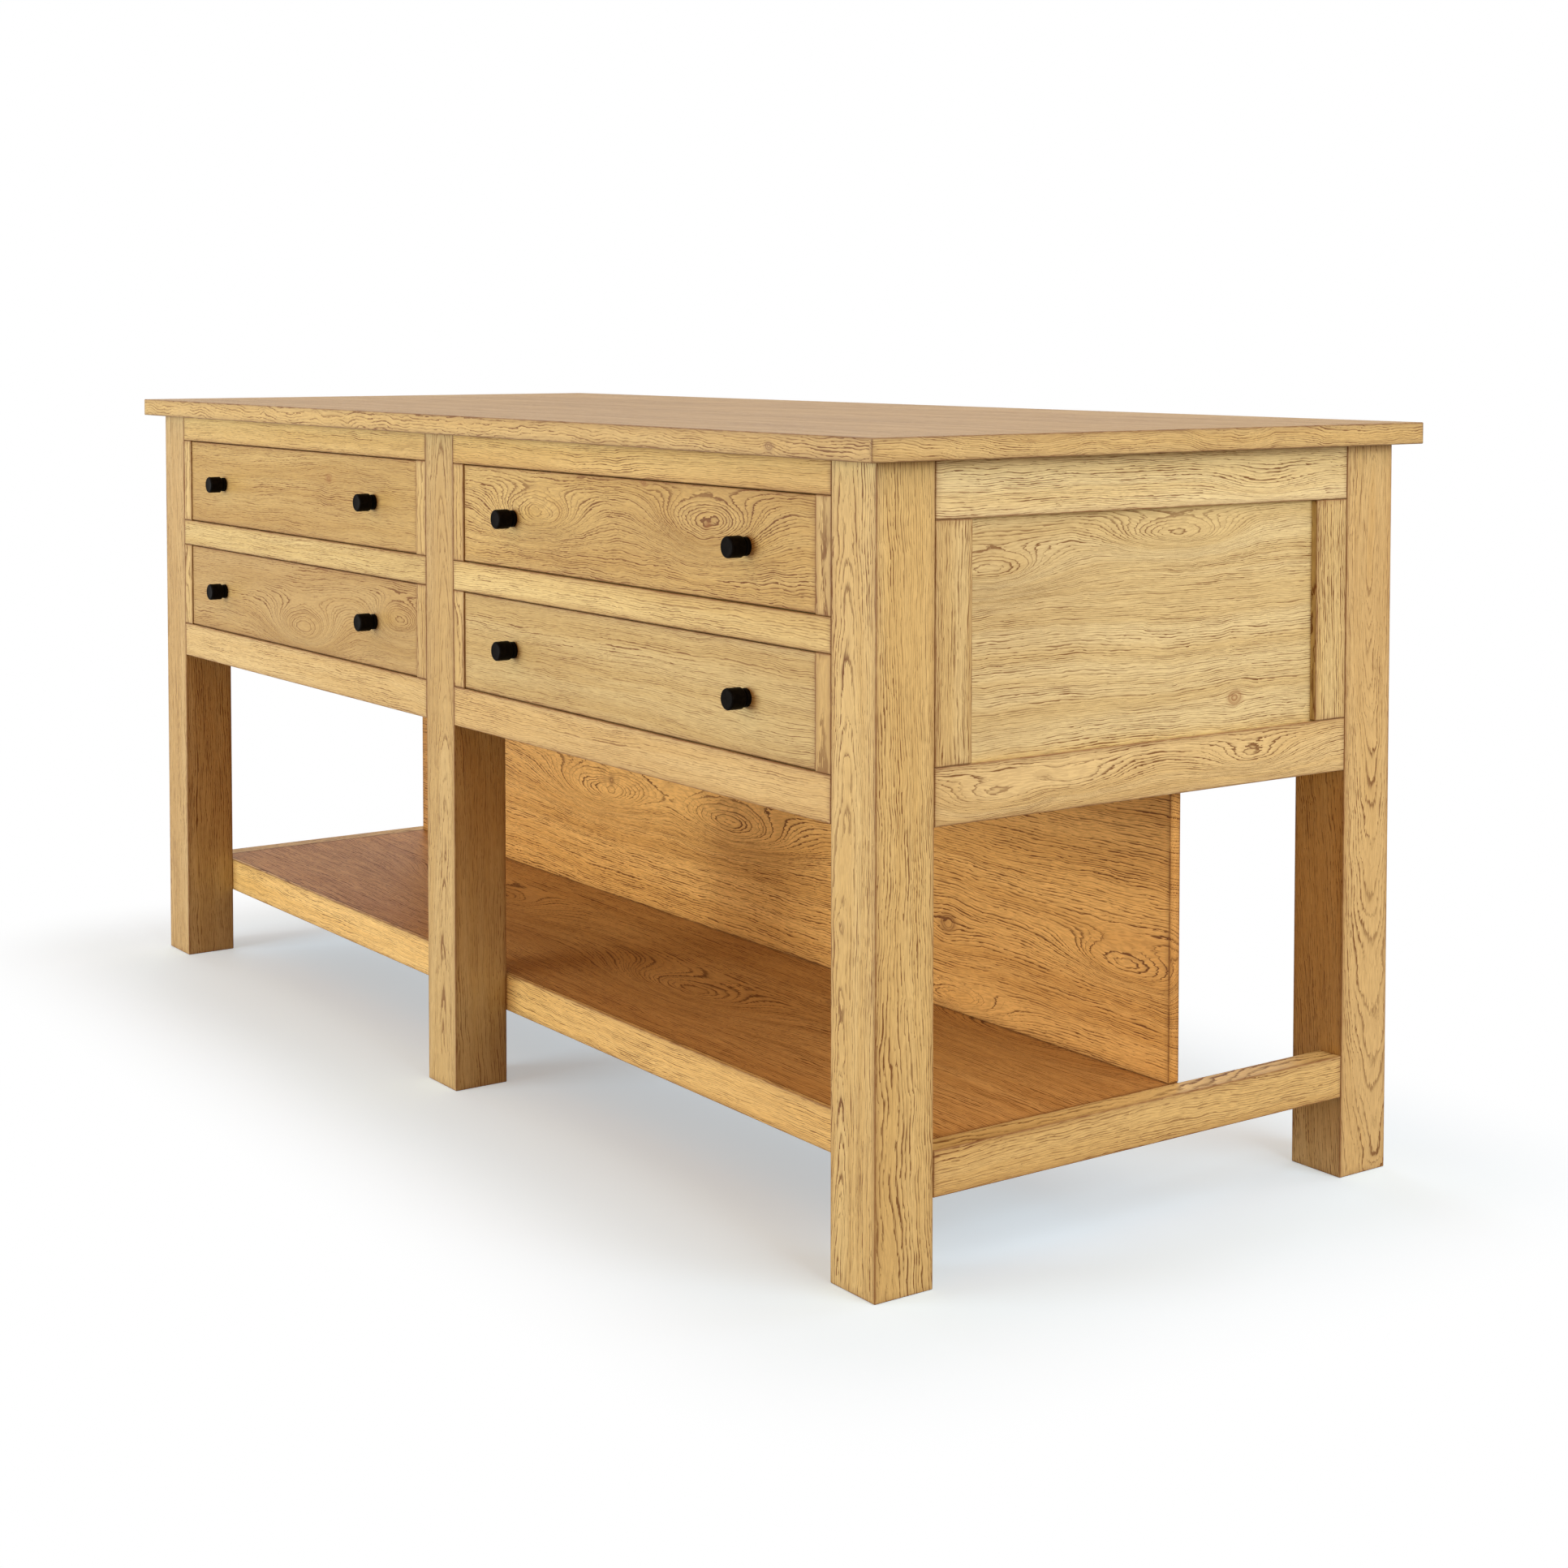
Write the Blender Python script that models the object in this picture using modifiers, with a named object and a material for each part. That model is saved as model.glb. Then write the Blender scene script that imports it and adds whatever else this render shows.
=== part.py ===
"""Oak kitchen island: four inset drawers, framed ends, a low shelf and a knee space behind.

Metres, +Z up. Facing the drawers, +X is to the right and +Y to the back. The origin lies on the
floor under the middle of the worktop.
"""

import collections
import math

import bmesh
import bpy
from mathutils import Matrix, Vector

# Axes by number
X, Y, Z = range(3)

# Gap left between faces that touch, how far a cutter runs past a face, and what counts as one point
FIT = 0.0003
PAST = 0.002
SAME_POINT = 0.00001

# Whole island
ISLAND_LENGTH = 1.982
ISLAND_DEPTH = 0.840
ISLAND_HEIGHT = 0.9144
WORKTOP_THICKNESS = 0.026
WORKTOP_OVERHANG = 0.026
LEG_WIDTH = 0.0785
FRAME_THICKNESS = 0.033
EDGE_EASE = 0.0012
EDGE_SEGMENTS = 2
EASED_ANGLE = math.radians(30)

# Front frame, from the worktop down
TOP_RAIL_HEIGHT = 0.039
MIDDLE_RAIL_HEIGHT = 0.0395
BOTTOM_RAIL_HEIGHT = 0.0525
DRAWER_OPENING_HEIGHT = 0.130
DRAWER_STILE_WIDTH = 0.0283

# Framed ends
END_TOP_RAIL_HEIGHT = 0.064
END_BOTTOM_RAIL_HEIGHT = 0.0635
END_STILE_WIDTH = 0.051
PANEL_THICKNESS = 0.009
PANEL_RECESS = 0.0085
PANEL_GROOVE_DEPTH = 0.010
PANEL_SLACK = 0.002
REAR_RAIL_HEIGHT = 0.064

# Tenons: stub tenons join the stiles to the rails, long ones the rails to the legs
TENON_THICKNESS = 0.011
TENON_LENGTH = 0.028
TENON_SHOULDER = 0.006
STUB_LENGTH = 0.008
TENON_ROOT = 0.006

# Low shelf and the panel that stands on it
STRETCHER_HEIGHT = 0.051
SHELF_TOP_HEIGHT = 0.150
SHELF_THICKNESS = 0.022
SHELF_LIP = 0.005
SHELF_TONGUE_LENGTH = 0.010
SHELF_TONGUE_THICKNESS = 0.010
BACK_PANEL_SETBACK = 0.455
BACK_PANEL_THICKNESS = 0.0165

# Drawers
DRAWER_GAP = 0.0013
DRAWER_RECESS = 0.0015
FRONT_THICKNESS = 0.021
SIDE_THICKNESS = 0.014
SIDE_HEIGHT = 0.100
SIDE_RAISE = 0.010
BOX_BACK_THICKNESS = 0.012
BOX_BACK_INSET = 0.003
BOX_REAR_CLEARANCE = 0.012
BOTTOM_THICKNESS = 0.006
BOTTOM_RAISE = 0.011
BOTTOM_GROOVE_DEPTH = 0.006
TAIL_COUNT = 3
TAIL_LENGTH = 0.014
TAIL_ROOT_WIDTH = 0.016
TAIL_SLOPE = 1 / 6

# Runner boards, whose strips carry the drawers in grooves along the drawer sides
RUNNER_BOARD_THICKNESS = 0.020
RUNNER_HEIGHT = 0.016
RUNNER_GROOVE_DEPTH = 0.007
RUNNER_TIP_CLEARANCE = 0.001
RUNNER_UNDER_CLEARANCE = 0.001
RUNNER_HOUSING = 0.006

# Turned knobs
KNOB_INSET = 0.131
KNOB_RADIUS = 0.0125
KNOB_PROJECTION = 0.027
KNOB_FACE_ROUND = 0.003
KNOB_NECK_RADIUS = 0.009
KNOB_NECK_LENGTH = 0.0025
KNOB_BASE_RADIUS = 0.011
KNOB_BASE_THICKNESS = 0.005
KNOB_BASE_ROUND = 0.0015
KNOB_STUD_RADIUS = 0.003
KNOB_STUD_LENGTH = 0.012
KNOB_STEPS = 16
ROUND_STEPS = 3

# Lines that several pieces share
END_X = ISLAND_LENGTH / 2 - WORKTOP_OVERHANG
INNER_X = END_X - LEG_WIDTH
FRONT_Y = WORKTOP_OVERHANG - ISLAND_DEPTH / 2
REAR_Y = -FRONT_Y
FRONT_LEG_REAR_Y = FRONT_Y + LEG_WIDTH
REAR_LEG_FRONT_Y = REAR_Y - LEG_WIDTH
BACK_PANEL_Y = FRONT_Y + BACK_PANEL_SETBACK
BACK_PANEL_REAR_Y = BACK_PANEL_Y + BACK_PANEL_THICKNESS
UNDERSIDE = ISLAND_HEIGHT - WORKTOP_THICKNESS
UPPER_OPENING_TOP = UNDERSIDE - TOP_RAIL_HEIGHT
MIDDLE_RAIL_TOP = UPPER_OPENING_TOP - DRAWER_OPENING_HEIGHT
LOWER_OPENING_TOP = MIDDLE_RAIL_TOP - MIDDLE_RAIL_HEIGHT
BOTTOM_RAIL_TOP = LOWER_OPENING_TOP - DRAWER_OPENING_HEIGHT
FRAME_BOTTOM = BOTTOM_RAIL_TOP - BOTTOM_RAIL_HEIGHT
STRETCHER_BOTTOM = SHELF_TOP_HEIGHT - STRETCHER_HEIGHT
BAYS = {"left": (-INNER_X, -LEG_WIDTH / 2), "right": (LEG_WIDTH / 2, INNER_X)}
OPENING_TOPS = {"upper": UPPER_OPENING_TOP, "lower": LOWER_OPENING_TOP}
ENDS = {"left": -1, "right": 1}

# Sockets that a finished joint cuts into the piece that receives it, by that piece's name
sockets = collections.defaultdict(list)


def clear_scene():
    """Removes every object that the file opened with."""
    for old in list(bpy.data.objects):
        bpy.data.objects.remove(old, do_unlink=True)


def new_collection(name):
    """A collection linked to the scene."""
    made = bpy.data.collections.new(name)
    bpy.context.scene.collection.children.link(made)
    return made


def finish(name, colour, roughness, metallic=0.0):
    """A Principled material of one colour."""
    made = bpy.data.materials.new(name)
    made.use_nodes = True
    shader = made.node_tree.nodes["Principled BSDF"]
    shader.inputs["Base Color"].default_value = (*colour, 1.0)
    shader.inputs["Roughness"].default_value = roughness
    shader.inputs["Metallic"].default_value = metallic
    made.diffuse_color = (*colour, 1.0)
    return made


def span(x, y, z):
    """A box as its low and high corner, from the two ends of each of its sides in any order."""
    low = Vector((min(x), min(y), min(z)))
    high = Vector((max(x), max(y), max(z)))
    return low, high


def grown(box, by):
    """The box with every face moved out."""
    out = Vector((by, by, by))
    return box[0] - out, box[1] + out


def block(name, boxes, collection, parent=None):
    """One object made of separate boxes, with its origin in the middle of the first."""
    origin = (boxes[0][0] + boxes[0][1]) / 2
    shape = bmesh.new()
    for low, high in boxes:
        place = Matrix.Translation((low + high) / 2 - origin)
        size = Matrix.Diagonal((*(high - low), 1.0))
        bmesh.ops.create_cube(shape, size=1.0, matrix=place @ size)
    return piece_from(shape, name, origin, collection, parent)


def piece_from(shape, name, origin, collection, parent):
    """An object holding a bmesh, which is freed."""
    mesh = bpy.data.meshes.new(name)
    shape.to_mesh(mesh)
    shape.free()
    made = bpy.data.objects.new(name, mesh)
    made.location = origin
    made.parent = parent
    collection.objects.link(made)
    return made


def ease_edges(piece):
    """Takes the sharpness off a board's edges."""
    bevel = piece.modifiers.new("eased edges", "BEVEL")
    bevel.width = EDGE_EASE
    bevel.segments = EDGE_SEGMENTS
    bevel.limit_method = "ANGLE"
    bevel.angle_limit = EASED_ANGLE


def combine(piece, operation, helper):
    """Adds a helper's shape to a piece, or takes it away."""
    helper.hide_render = True
    helper.display_type = "WIRE"
    joint = piece.modifiers.new(helper.name, "BOOLEAN")
    joint.operation = operation
    joint.solver = "EXACT"
    joint.object = helper


def add_boxes(piece, label, boxes):
    """Joins boxes that reach into the piece to it."""
    helper = block(f"{piece.name} {label}", boxes, helpers, piece.parent)
    combine(piece, "UNION", helper)


def cut_boxes(piece, label, boxes):
    """Cuts boxes out of the piece."""
    helper = block(f"{piece.name} {label}", boxes, helpers, piece.parent)
    combine(piece, "DIFFERENCE", helper)


def board(name, box, material, tenons=(), parent=None):
    """A board with eased edges and the tenons on its ends."""
    made = block(name, [box], parts, parent)
    made.data.materials.append(material)
    ease_edges(made)
    if tenons:
        add_boxes(made, "tenons", list(tenons))
    return made


def tenon(box, run, thin, end, length):
    """The tenon on one end of a board.

    run is the axis that it points along, thin the axis of its thickness and end its sign. Its width
    lies along the axis that is left.
    """
    low, high = box[0].copy(), box[1].copy()
    wide = X + Y + Z - run - thin
    middle = (low[thin] + high[thin]) / 2
    low[thin], high[thin] = middle - TENON_THICKNESS / 2, middle + TENON_THICKNESS / 2
    low[wide] += TENON_SHOULDER
    high[wide] -= TENON_SHOULDER
    if end > 0:
        low[run], high[run] = high[run] - TENON_ROOT, high[run] + length
    else:
        low[run], high[run] = low[run] - length, low[run] + TENON_ROOT
    return low, high


def tenoned_board(name, box, material, run, thin, length, holders):
    """A board with a tenon on both ends, which are let into the two holders named low end first."""
    ends = [tenon(box, run, thin, end, length) for end in (-1, 1)]
    for holder, end in zip(holders, ends):
        sockets[holder].append(grown(end, FIT))
    return board(name, box, material, ends)


def cut_sockets():
    """Cuts the mortises and housings that the finished joints ask for."""
    for name, boxes in sockets.items():
        cut_boxes(bpy.data.objects[name], "mortises", boxes)


def build_worktop():
    """The top board, which overhangs the legs all round."""
    top = span(
        (-ISLAND_LENGTH / 2, ISLAND_LENGTH / 2),
        (-ISLAND_DEPTH / 2, ISLAND_DEPTH / 2),
        (UNDERSIDE, ISLAND_HEIGHT),
    )
    board("worktop", top, top_oak)


def build_legs():
    """Three square legs along the front and two at the back."""
    front = (FRONT_Y, FRONT_LEG_REAR_Y)
    rear = (REAR_LEG_FRONT_Y, REAR_Y)
    height = (0.0, UNDERSIDE - FIT)
    board("front_left_leg", span((-END_X, -INNER_X), front, height), leg_oak)
    board("front_middle_leg", span((-LEG_WIDTH / 2, LEG_WIDTH / 2), front, height), leg_oak)
    board("front_right_leg", span((INNER_X, END_X), front, height), leg_oak)
    board("rear_left_leg", span((-END_X, -INNER_X), rear, height), leg_oak)
    board("rear_right_leg", span((INNER_X, END_X), rear, height), leg_oak)


def build_front_frame(bay):
    """The rails and drawer stiles of one bay, flush with the fronts of the legs."""
    left_x, right_x = BAYS[bay]
    width = (left_x + FIT, right_x - FIT)
    depth = (FRONT_Y, FRONT_Y + FRAME_THICKNESS)
    holders = {
        "left": ("front_left_leg", "front_middle_leg"),
        "right": ("front_middle_leg", "front_right_leg"),
    }[bay]
    heights = {
        "top": (UPPER_OPENING_TOP, UNDERSIDE - FIT),
        "middle": (LOWER_OPENING_TOP, MIDDLE_RAIL_TOP),
        "bottom": (FRAME_BOTTOM, BOTTOM_RAIL_TOP),
    }
    for place, height in heights.items():
        rail = span(width, depth, height)
        tenoned_board(f"{bay}_bay_{place}_rail", rail, rail_oak, X, Y, TENON_LENGTH, holders)
    for level, opening_top in OPENING_TOPS.items():
        height = (opening_top - DRAWER_OPENING_HEIGHT + FIT, opening_top - FIT)
        between = {"upper": ("middle", "top"), "lower": ("bottom", "middle")}[level]
        rails = [f"{bay}_bay_{place}_rail" for place in between]
        sides = {
            "left": (left_x + FIT, left_x + DRAWER_STILE_WIDTH),
            "right": (right_x - DRAWER_STILE_WIDTH, right_x - FIT),
        }
        for side, across in sides.items():
            stile = span(across, depth, height)
            name = f"{bay}_bay_{level}_{side}_stile"
            tenoned_board(name, stile, rail_oak, Z, Y, STUB_LENGTH, rails)


def build_end_frame(end):
    """A framed end: two rails, two stiles and a panel held in their grooves."""
    sign = ENDS[end]
    outer = sign * END_X
    across = (outer, outer - sign * FRAME_THICKNESS)
    holders = (f"front_{end}_leg", f"rear_{end}_leg")
    run = (FRONT_LEG_REAR_Y + FIT, REAR_LEG_FRONT_Y - FIT)
    top_rail_z = (UNDERSIDE - END_TOP_RAIL_HEIGHT, UNDERSIDE - FIT)
    bottom_rail_z = (FRAME_BOTTOM, FRAME_BOTTOM + END_BOTTOM_RAIL_HEIGHT)
    stile_z = (bottom_rail_z[1] + FIT, top_rail_z[0] - FIT)
    stile_y = {
        "front": (run[0], run[0] + END_STILE_WIDTH),
        "rear": (run[1], run[1] - END_STILE_WIDTH),
    }
    panel_face = outer - sign * PANEL_RECESS
    panel_x = (panel_face, panel_face - sign * PANEL_THICKNESS)
    groove_x = (panel_face + sign * FIT, panel_x[1] - sign * FIT)
    for place, height in (("top", top_rail_z), ("bottom", bottom_rail_z)):
        rail = span(across, run, height)
        name = f"{end}_end_{place}_rail"
        made = tenoned_board(name, rail, rail_oak, Y, X, TENON_LENGTH, holders)
        if place == "top":
            groove_z = (height[0] - PAST, height[0] + PANEL_GROOVE_DEPTH)
        else:
            groove_z = (height[1] + PAST, height[1] - PANEL_GROOVE_DEPTH)
        cut_boxes(made, "panel groove", [span(groove_x, run, groove_z)])
    for place, (outside_y, inside_y) in stile_y.items():
        inward = math.copysign(1, inside_y - outside_y)
        groove_end_y = inside_y - inward * PANEL_GROOVE_DEPTH
        stub_z = (stile_z[0] - STUB_LENGTH, stile_z[1] + STUB_LENGTH)
        stub_y = (outside_y + inward * TENON_SHOULDER, groove_end_y)
        stubs = [
            span(panel_x, stub_y, (stub_z[0], stile_z[0] + TENON_ROOT)),
            span(panel_x, stub_y, (stile_z[1] - TENON_ROOT, stub_z[1])),
        ]
        stile = span(across, (outside_y, inside_y), stile_z)
        made = board(f"{end}_end_{place}_stile", stile, rail_oak, stubs)
        groove_z = (stile_z[0] - PAST, stile_z[1] + PAST)
        groove = span(groove_x, (groove_end_y, inside_y + inward * PAST), groove_z)
        cut_boxes(made, "panel groove", [groove])
    into = PANEL_GROOVE_DEPTH - PANEL_SLACK
    panel_y = (stile_y["front"][1] - into, stile_y["rear"][1] + into)
    panel_z = (bottom_rail_z[1] - into, top_rail_z[0] + into)
    board(f"{end}_end_panel", span(panel_x, panel_y, panel_z), panel_oak)
    stretcher = span(across, run, (STRETCHER_BOTTOM, SHELF_TOP_HEIGHT))
    tenoned_board(f"{end}_end_stretcher", stretcher, rail_oak, Y, X, TENON_LENGTH, holders)


def build_rear_rail():
    """The rail that ties the rear legs together under the worktop."""
    rail = span(
        (-INNER_X + FIT, INNER_X - FIT),
        (REAR_Y, REAR_Y - FRAME_THICKNESS),
        (UNDERSIDE - REAR_RAIL_HEIGHT, UNDERSIDE - FIT),
    )
    holders = ("rear_left_leg", "rear_right_leg")
    tenoned_board("rear_top_rail", rail, rail_oak, X, Y, TENON_LENGTH, holders)


def build_shelf():
    """The low shelf, its front rail and the back panel that stands on it."""
    inside = END_X - FRAME_THICKNESS - FIT
    width = (-inside, inside)
    rail_y = (FRONT_LEG_REAR_Y + FIT, FRONT_LEG_REAR_Y + FIT + FRAME_THICKNESS)
    rail = span(width, rail_y, (STRETCHER_BOTTOM, SHELF_TOP_HEIGHT))
    holders = ("left_end_stretcher", "right_end_stretcher")
    made = tenoned_board("shelf_front_rail", rail, rail_oak, X, Y, STUB_LENGTH, holders)
    shelf_bottom = SHELF_TOP_HEIGHT - SHELF_THICKNESS
    rebate = span(
        (-inside - PAST, inside + PAST),
        (rail_y[0] + SHELF_LIP, rail_y[1] + PAST),
        (shelf_bottom - FIT, SHELF_TOP_HEIGHT + PAST),
    )
    cut_boxes(made, "shelf rebate", [rebate])
    shelf_y = (rail_y[0] + SHELF_LIP + FIT, BACK_PANEL_REAR_Y)
    shelf = span(width, shelf_y, (shelf_bottom, SHELF_TOP_HEIGHT))
    middle_z = (shelf_bottom + SHELF_TOP_HEIGHT) / 2
    tongue_z = (middle_z - SHELF_TONGUE_THICKNESS / 2, middle_z + SHELF_TONGUE_THICKNESS / 2)
    tongue_y = (rail_y[1] + FIT, shelf_y[1] - TENON_SHOULDER)
    tongues = []
    for end, sign in ENDS.items():
        tongue_x = (sign * (inside - TENON_ROOT), sign * (inside + SHELF_TONGUE_LENGTH))
        tongue = span(tongue_x, tongue_y, tongue_z)
        tongues.append(tongue)
        sockets[f"{end}_end_stretcher"].append(grown(tongue, FIT))
    board("shelf", shelf, panel_oak, tongues)
    panel_y = (BACK_PANEL_Y, BACK_PANEL_REAR_Y)
    panel = span(width, panel_y, (SHELF_TOP_HEIGHT + FIT, UNDERSIDE - FIT))
    board("back_panel", panel, panel_oak)


def drawer_centre(bay, level):
    """The middle of a drawer's face, which its slide passes through."""
    x = sum(BAYS[bay]) / 2
    z = OPENING_TOPS[level] - DRAWER_OPENING_HEIGHT / 2
    return Vector((x, FRONT_Y + DRAWER_RECESS, z))


def front_size(bay):
    """Width and height of a drawer's face."""
    opening = BAYS[bay][1] - BAYS[bay][0] - 2 * DRAWER_STILE_WIDTH
    return opening - 2 * DRAWER_GAP, DRAWER_OPENING_HEIGHT - 2 * DRAWER_GAP


def side_heights(height):
    """Bottom and top of the drawer sides, from the middle of the face."""
    bottom = SIDE_RAISE - height / 2
    return bottom, bottom + SIDE_HEIGHT


def runner_heights(height):
    """Bottom and top of a runner strip, from the middle of the face."""
    middle = sum(side_heights(height)) / 2
    return middle - RUNNER_HEIGHT / 2, middle + RUNNER_HEIGHT / 2


def build_runner_boards(bay):
    """The board on each side of a bay whose strips carry the drawers."""
    left_x, right_x = BAYS[bay]
    width, height = front_size(bay)
    run = (FRONT_Y + FRAME_THICKNESS + FIT, BACK_PANEL_Y - FIT)
    board_z = (BOTTOM_RAIL_TOP, UPPER_OPENING_TOP)
    reach = DRAWER_STILE_WIDTH + DRAWER_GAP + RUNNER_GROOVE_DEPTH - RUNNER_TIP_CLEARANCE
    for side, leg_x, inward in (("left", left_x, 1), ("right", right_x, -1)):
        face_x = leg_x + inward * RUNNER_BOARD_THICKNESS
        strip_x = (face_x - inward * RUNNER_HOUSING, leg_x + inward * reach)
        strips = []
        for level in OPENING_TOPS:
            centre_z = drawer_centre(bay, level).z
            strip_z = [centre_z + z for z in runner_heights(height)]
            strips.append(span(strip_x, run, strip_z))
        body = span((leg_x + inward * FIT, face_x), run, board_z)
        made = board(f"{bay}_bay_{side}_runner_board", body, inner_oak)
        add_boxes(made, "runner strips", strips)


def dovetails(name, width, height, clearance, cheek, overrun, parent):
    """The tails of both drawer sides as wedges, or with a clearance the sockets for them.

    A tail widens towards its tip, which lies inside the drawer front. Its cheeks lie outside the
    faces of the drawer side by cheek, and inside them where that is negative.
    """
    bottom, top = side_heights(height)
    pitch = (top - bottom) / TAIL_COUNT
    half_root = TAIL_ROOT_WIDTH / 2
    tip_y = FRONT_THICKNESS - TAIL_LENGTH - clearance
    root_y = FRONT_THICKNESS + overrun
    shape = bmesh.new()
    for sign in (-1, 1):
        x_ends = (sign * (width / 2 - SIDE_THICKNESS - cheek), sign * (width / 2 + cheek))
        for index in range(TAIL_COUNT):
            middle_z = bottom + pitch * (index + 0.5)
            z_ends = (middle_z - half_root, middle_z + half_root)
            low, high = span(x_ends, (tip_y, root_y), z_ends)
            place = Matrix.Translation((low + high) / 2)
            size = Matrix.Diagonal((*(high - low), 1.0))
            made = bmesh.ops.create_cube(shape, size=1.0, matrix=place @ size)
            for corner in made["verts"]:
                half = half_root + (FRONT_THICKNESS - corner.co.y) * TAIL_SLOPE + clearance
                corner.co.z = middle_z + math.copysign(half, corner.co.z - middle_z)
    return piece_from(shape, name, Vector((0.0, 0.0, 0.0)), helpers, parent)


def build_drawer(bay, level):
    """One drawer: front, dovetailed box, loose bottom and two knobs, on an empty at its slide.

    The front ends of the runner strips stop it in the grooves, with its face just inside the frame's.
    """
    label = f"{bay}_{level}_drawer"
    slide = bpy.data.objects.new(f"{label}_slide", None)
    slide.location = drawer_centre(bay, level)
    parts.objects.link(slide)
    width, height = front_size(bay)
    box_end = BACK_PANEL_SETBACK - DRAWER_RECESS - BOX_REAR_CLEARANCE
    side_z = side_heights(height)
    inner_x = width / 2 - SIDE_THICKNESS
    bottom_z = (side_z[0] + BOTTOM_RAISE, side_z[0] + BOTTOM_RAISE + BOTTOM_THICKNESS)
    groove_x = inner_x + BOTTOM_GROOVE_DEPTH
    groove_z = (bottom_z[0] - FIT, bottom_z[1] + FIT)
    knob_x = width / 2 - KNOB_INSET

    face = span((-width / 2, width / 2), (0.0, FRONT_THICKNESS), (-height / 2, height / 2))
    front = board(f"{label}_front", face, front_oak, parent=slide)
    combine(front, "DIFFERENCE", dovetails(f"{label} sockets", width, height, FIT, FIT, PAST, slide))
    groove_y = (FRONT_THICKNESS - BOTTOM_GROOVE_DEPTH, FRONT_THICKNESS + PAST)
    cut_boxes(front, "bottom groove", [span((-groove_x, groove_x), groove_y, groove_z)])

    side_y = (FRONT_THICKNESS + FIT, box_end)
    sides = [span((sign * inner_x, sign * width / 2), side_y, side_z) for sign in (-1, 1)]
    box = block(f"{label}_box", sides, parts, slide)
    box.data.materials.append(inner_oak)
    ease_edges(box)
    back_x = inner_x + SIDE_THICKNESS / 2
    back_y = (box_end - BOX_BACK_INSET - BOX_BACK_THICKNESS, box_end - BOX_BACK_INSET)
    back_z = (groove_z[1] + FIT, side_z[1] - BOX_BACK_INSET)
    add_boxes(box, "back", [span((-back_x, back_x), back_y, back_z)])
    tails = dovetails(f"{label} tails", width, height, 0.0, -FIT, TENON_ROOT, slide)
    combine(box, "UNION", tails)
    grooves = []
    rest_z = runner_heights(height)
    for sign in (-1, 1):
        bottom_groove_x = (sign * (inner_x - PAST), sign * groove_x)
        bottom_groove_y = (FRONT_THICKNESS - TAIL_LENGTH - PAST, box_end + PAST)
        grooves.append(span(bottom_groove_x, bottom_groove_y, groove_z))
        runner_x = (sign * (width / 2 - RUNNER_GROOVE_DEPTH), sign * (width / 2 + PAST))
        runner_y = (FRAME_THICKNESS - DRAWER_RECESS, box_end + PAST)
        runner_z = (rest_z[0] - RUNNER_UNDER_CLEARANCE, rest_z[1] + FIT)
        grooves.append(span(runner_x, runner_y, runner_z))
    cut_boxes(box, "grooves", grooves)

    panel_x = groove_x - FIT
    panel_y = (FRONT_THICKNESS - BOTTOM_GROOVE_DEPTH + FIT, box_end - EDGE_EASE)
    panel = block(f"{label}_bottom", [span((-panel_x, panel_x), panel_y, bottom_z)], parts, slide)
    panel.data.materials.append(inner_oak)

    for side, sign in ENDS.items():
        place = Vector((sign * knob_x, -FIT, 0.0))
        build_knob(f"{label}_{side}_knob", place, slide)
        drill(front, f"{side} knob hole", Vector((sign * knob_x, 0.0, 0.0)), slide)


def arc(centre_radius, centre_height, radius, start, end):
    """Points of an arc in a turned profile, as radius and height, by angle in degrees."""
    points = []
    for step in range(ROUND_STEPS + 1):
        angle = math.radians(start + (end - start) * step / ROUND_STEPS)
        across = centre_radius + radius * math.cos(angle)
        points.append((across, centre_height + radius * math.sin(angle)))
    return points


def knob_profile():
    """Half section of a knob from the middle of its face, round the outside, to the stud's end."""
    base = KNOB_BASE_THICKNESS
    body = base + KNOB_NECK_LENGTH
    face_round = KNOB_FACE_ROUND
    base_round = KNOB_BASE_ROUND
    points = [(0.0, KNOB_PROJECTION)]
    points += arc(KNOB_RADIUS - face_round, KNOB_PROJECTION - face_round, face_round, 90, 0)
    points += arc(KNOB_RADIUS - base_round, body + base_round, base_round, 0, -90)
    points += [(KNOB_NECK_RADIUS, body), (KNOB_NECK_RADIUS, base)]
    points += arc(KNOB_BASE_RADIUS - base_round, base - base_round, base_round, 90, 0)
    points += [(KNOB_BASE_RADIUS, 0.0), (KNOB_STUD_RADIUS, 0.0)]
    points += [(KNOB_STUD_RADIUS, -KNOB_STUD_LENGTH), (0.0, -KNOB_STUD_LENGTH)]
    return points


def build_knob(name, place, parent):
    """A turned knob standing out of a drawer front, with the stud that holds it."""
    shape = bmesh.new()
    ring = [shape.verts.new((radius, 0.0, height)) for radius, height in knob_profile()]
    for first, second in zip(ring, ring[1:]):
        shape.edges.new((first, second))
    knob = piece_from(shape, name, place, parts, parent)
    knob.rotation_euler = (math.pi / 2, 0.0, 0.0)
    knob.data.materials.append(black_metal)
    turn = knob.modifiers.new("turned", "SCREW")
    turn.axis = "Z"
    turn.angle = math.tau
    turn.steps = KNOB_STEPS
    turn.render_steps = KNOB_STEPS
    turn.use_merge_vertices = True
    turn.merge_threshold = SAME_POINT
    turn.use_smooth_shade = True


def drill(front, label, place, parent):
    """The hole in a drawer front for a knob's stud."""
    depth = KNOB_STUD_LENGTH + PAST
    radius = KNOB_STUD_RADIUS + FIT
    shape = bmesh.new()
    bmesh.ops.create_cone(
        shape,
        cap_ends=True,
        segments=KNOB_STEPS,
        radius1=radius,
        radius2=radius,
        depth=depth + PAST,
        matrix=Matrix.Rotation(math.pi / 2, 4, "X"),
    )
    middle = place + Vector((0.0, (depth - PAST) / 2, 0.0))
    combine(front, "DIFFERENCE", piece_from(shape, f"{front.name} {label}", middle, helpers, parent))


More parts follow.
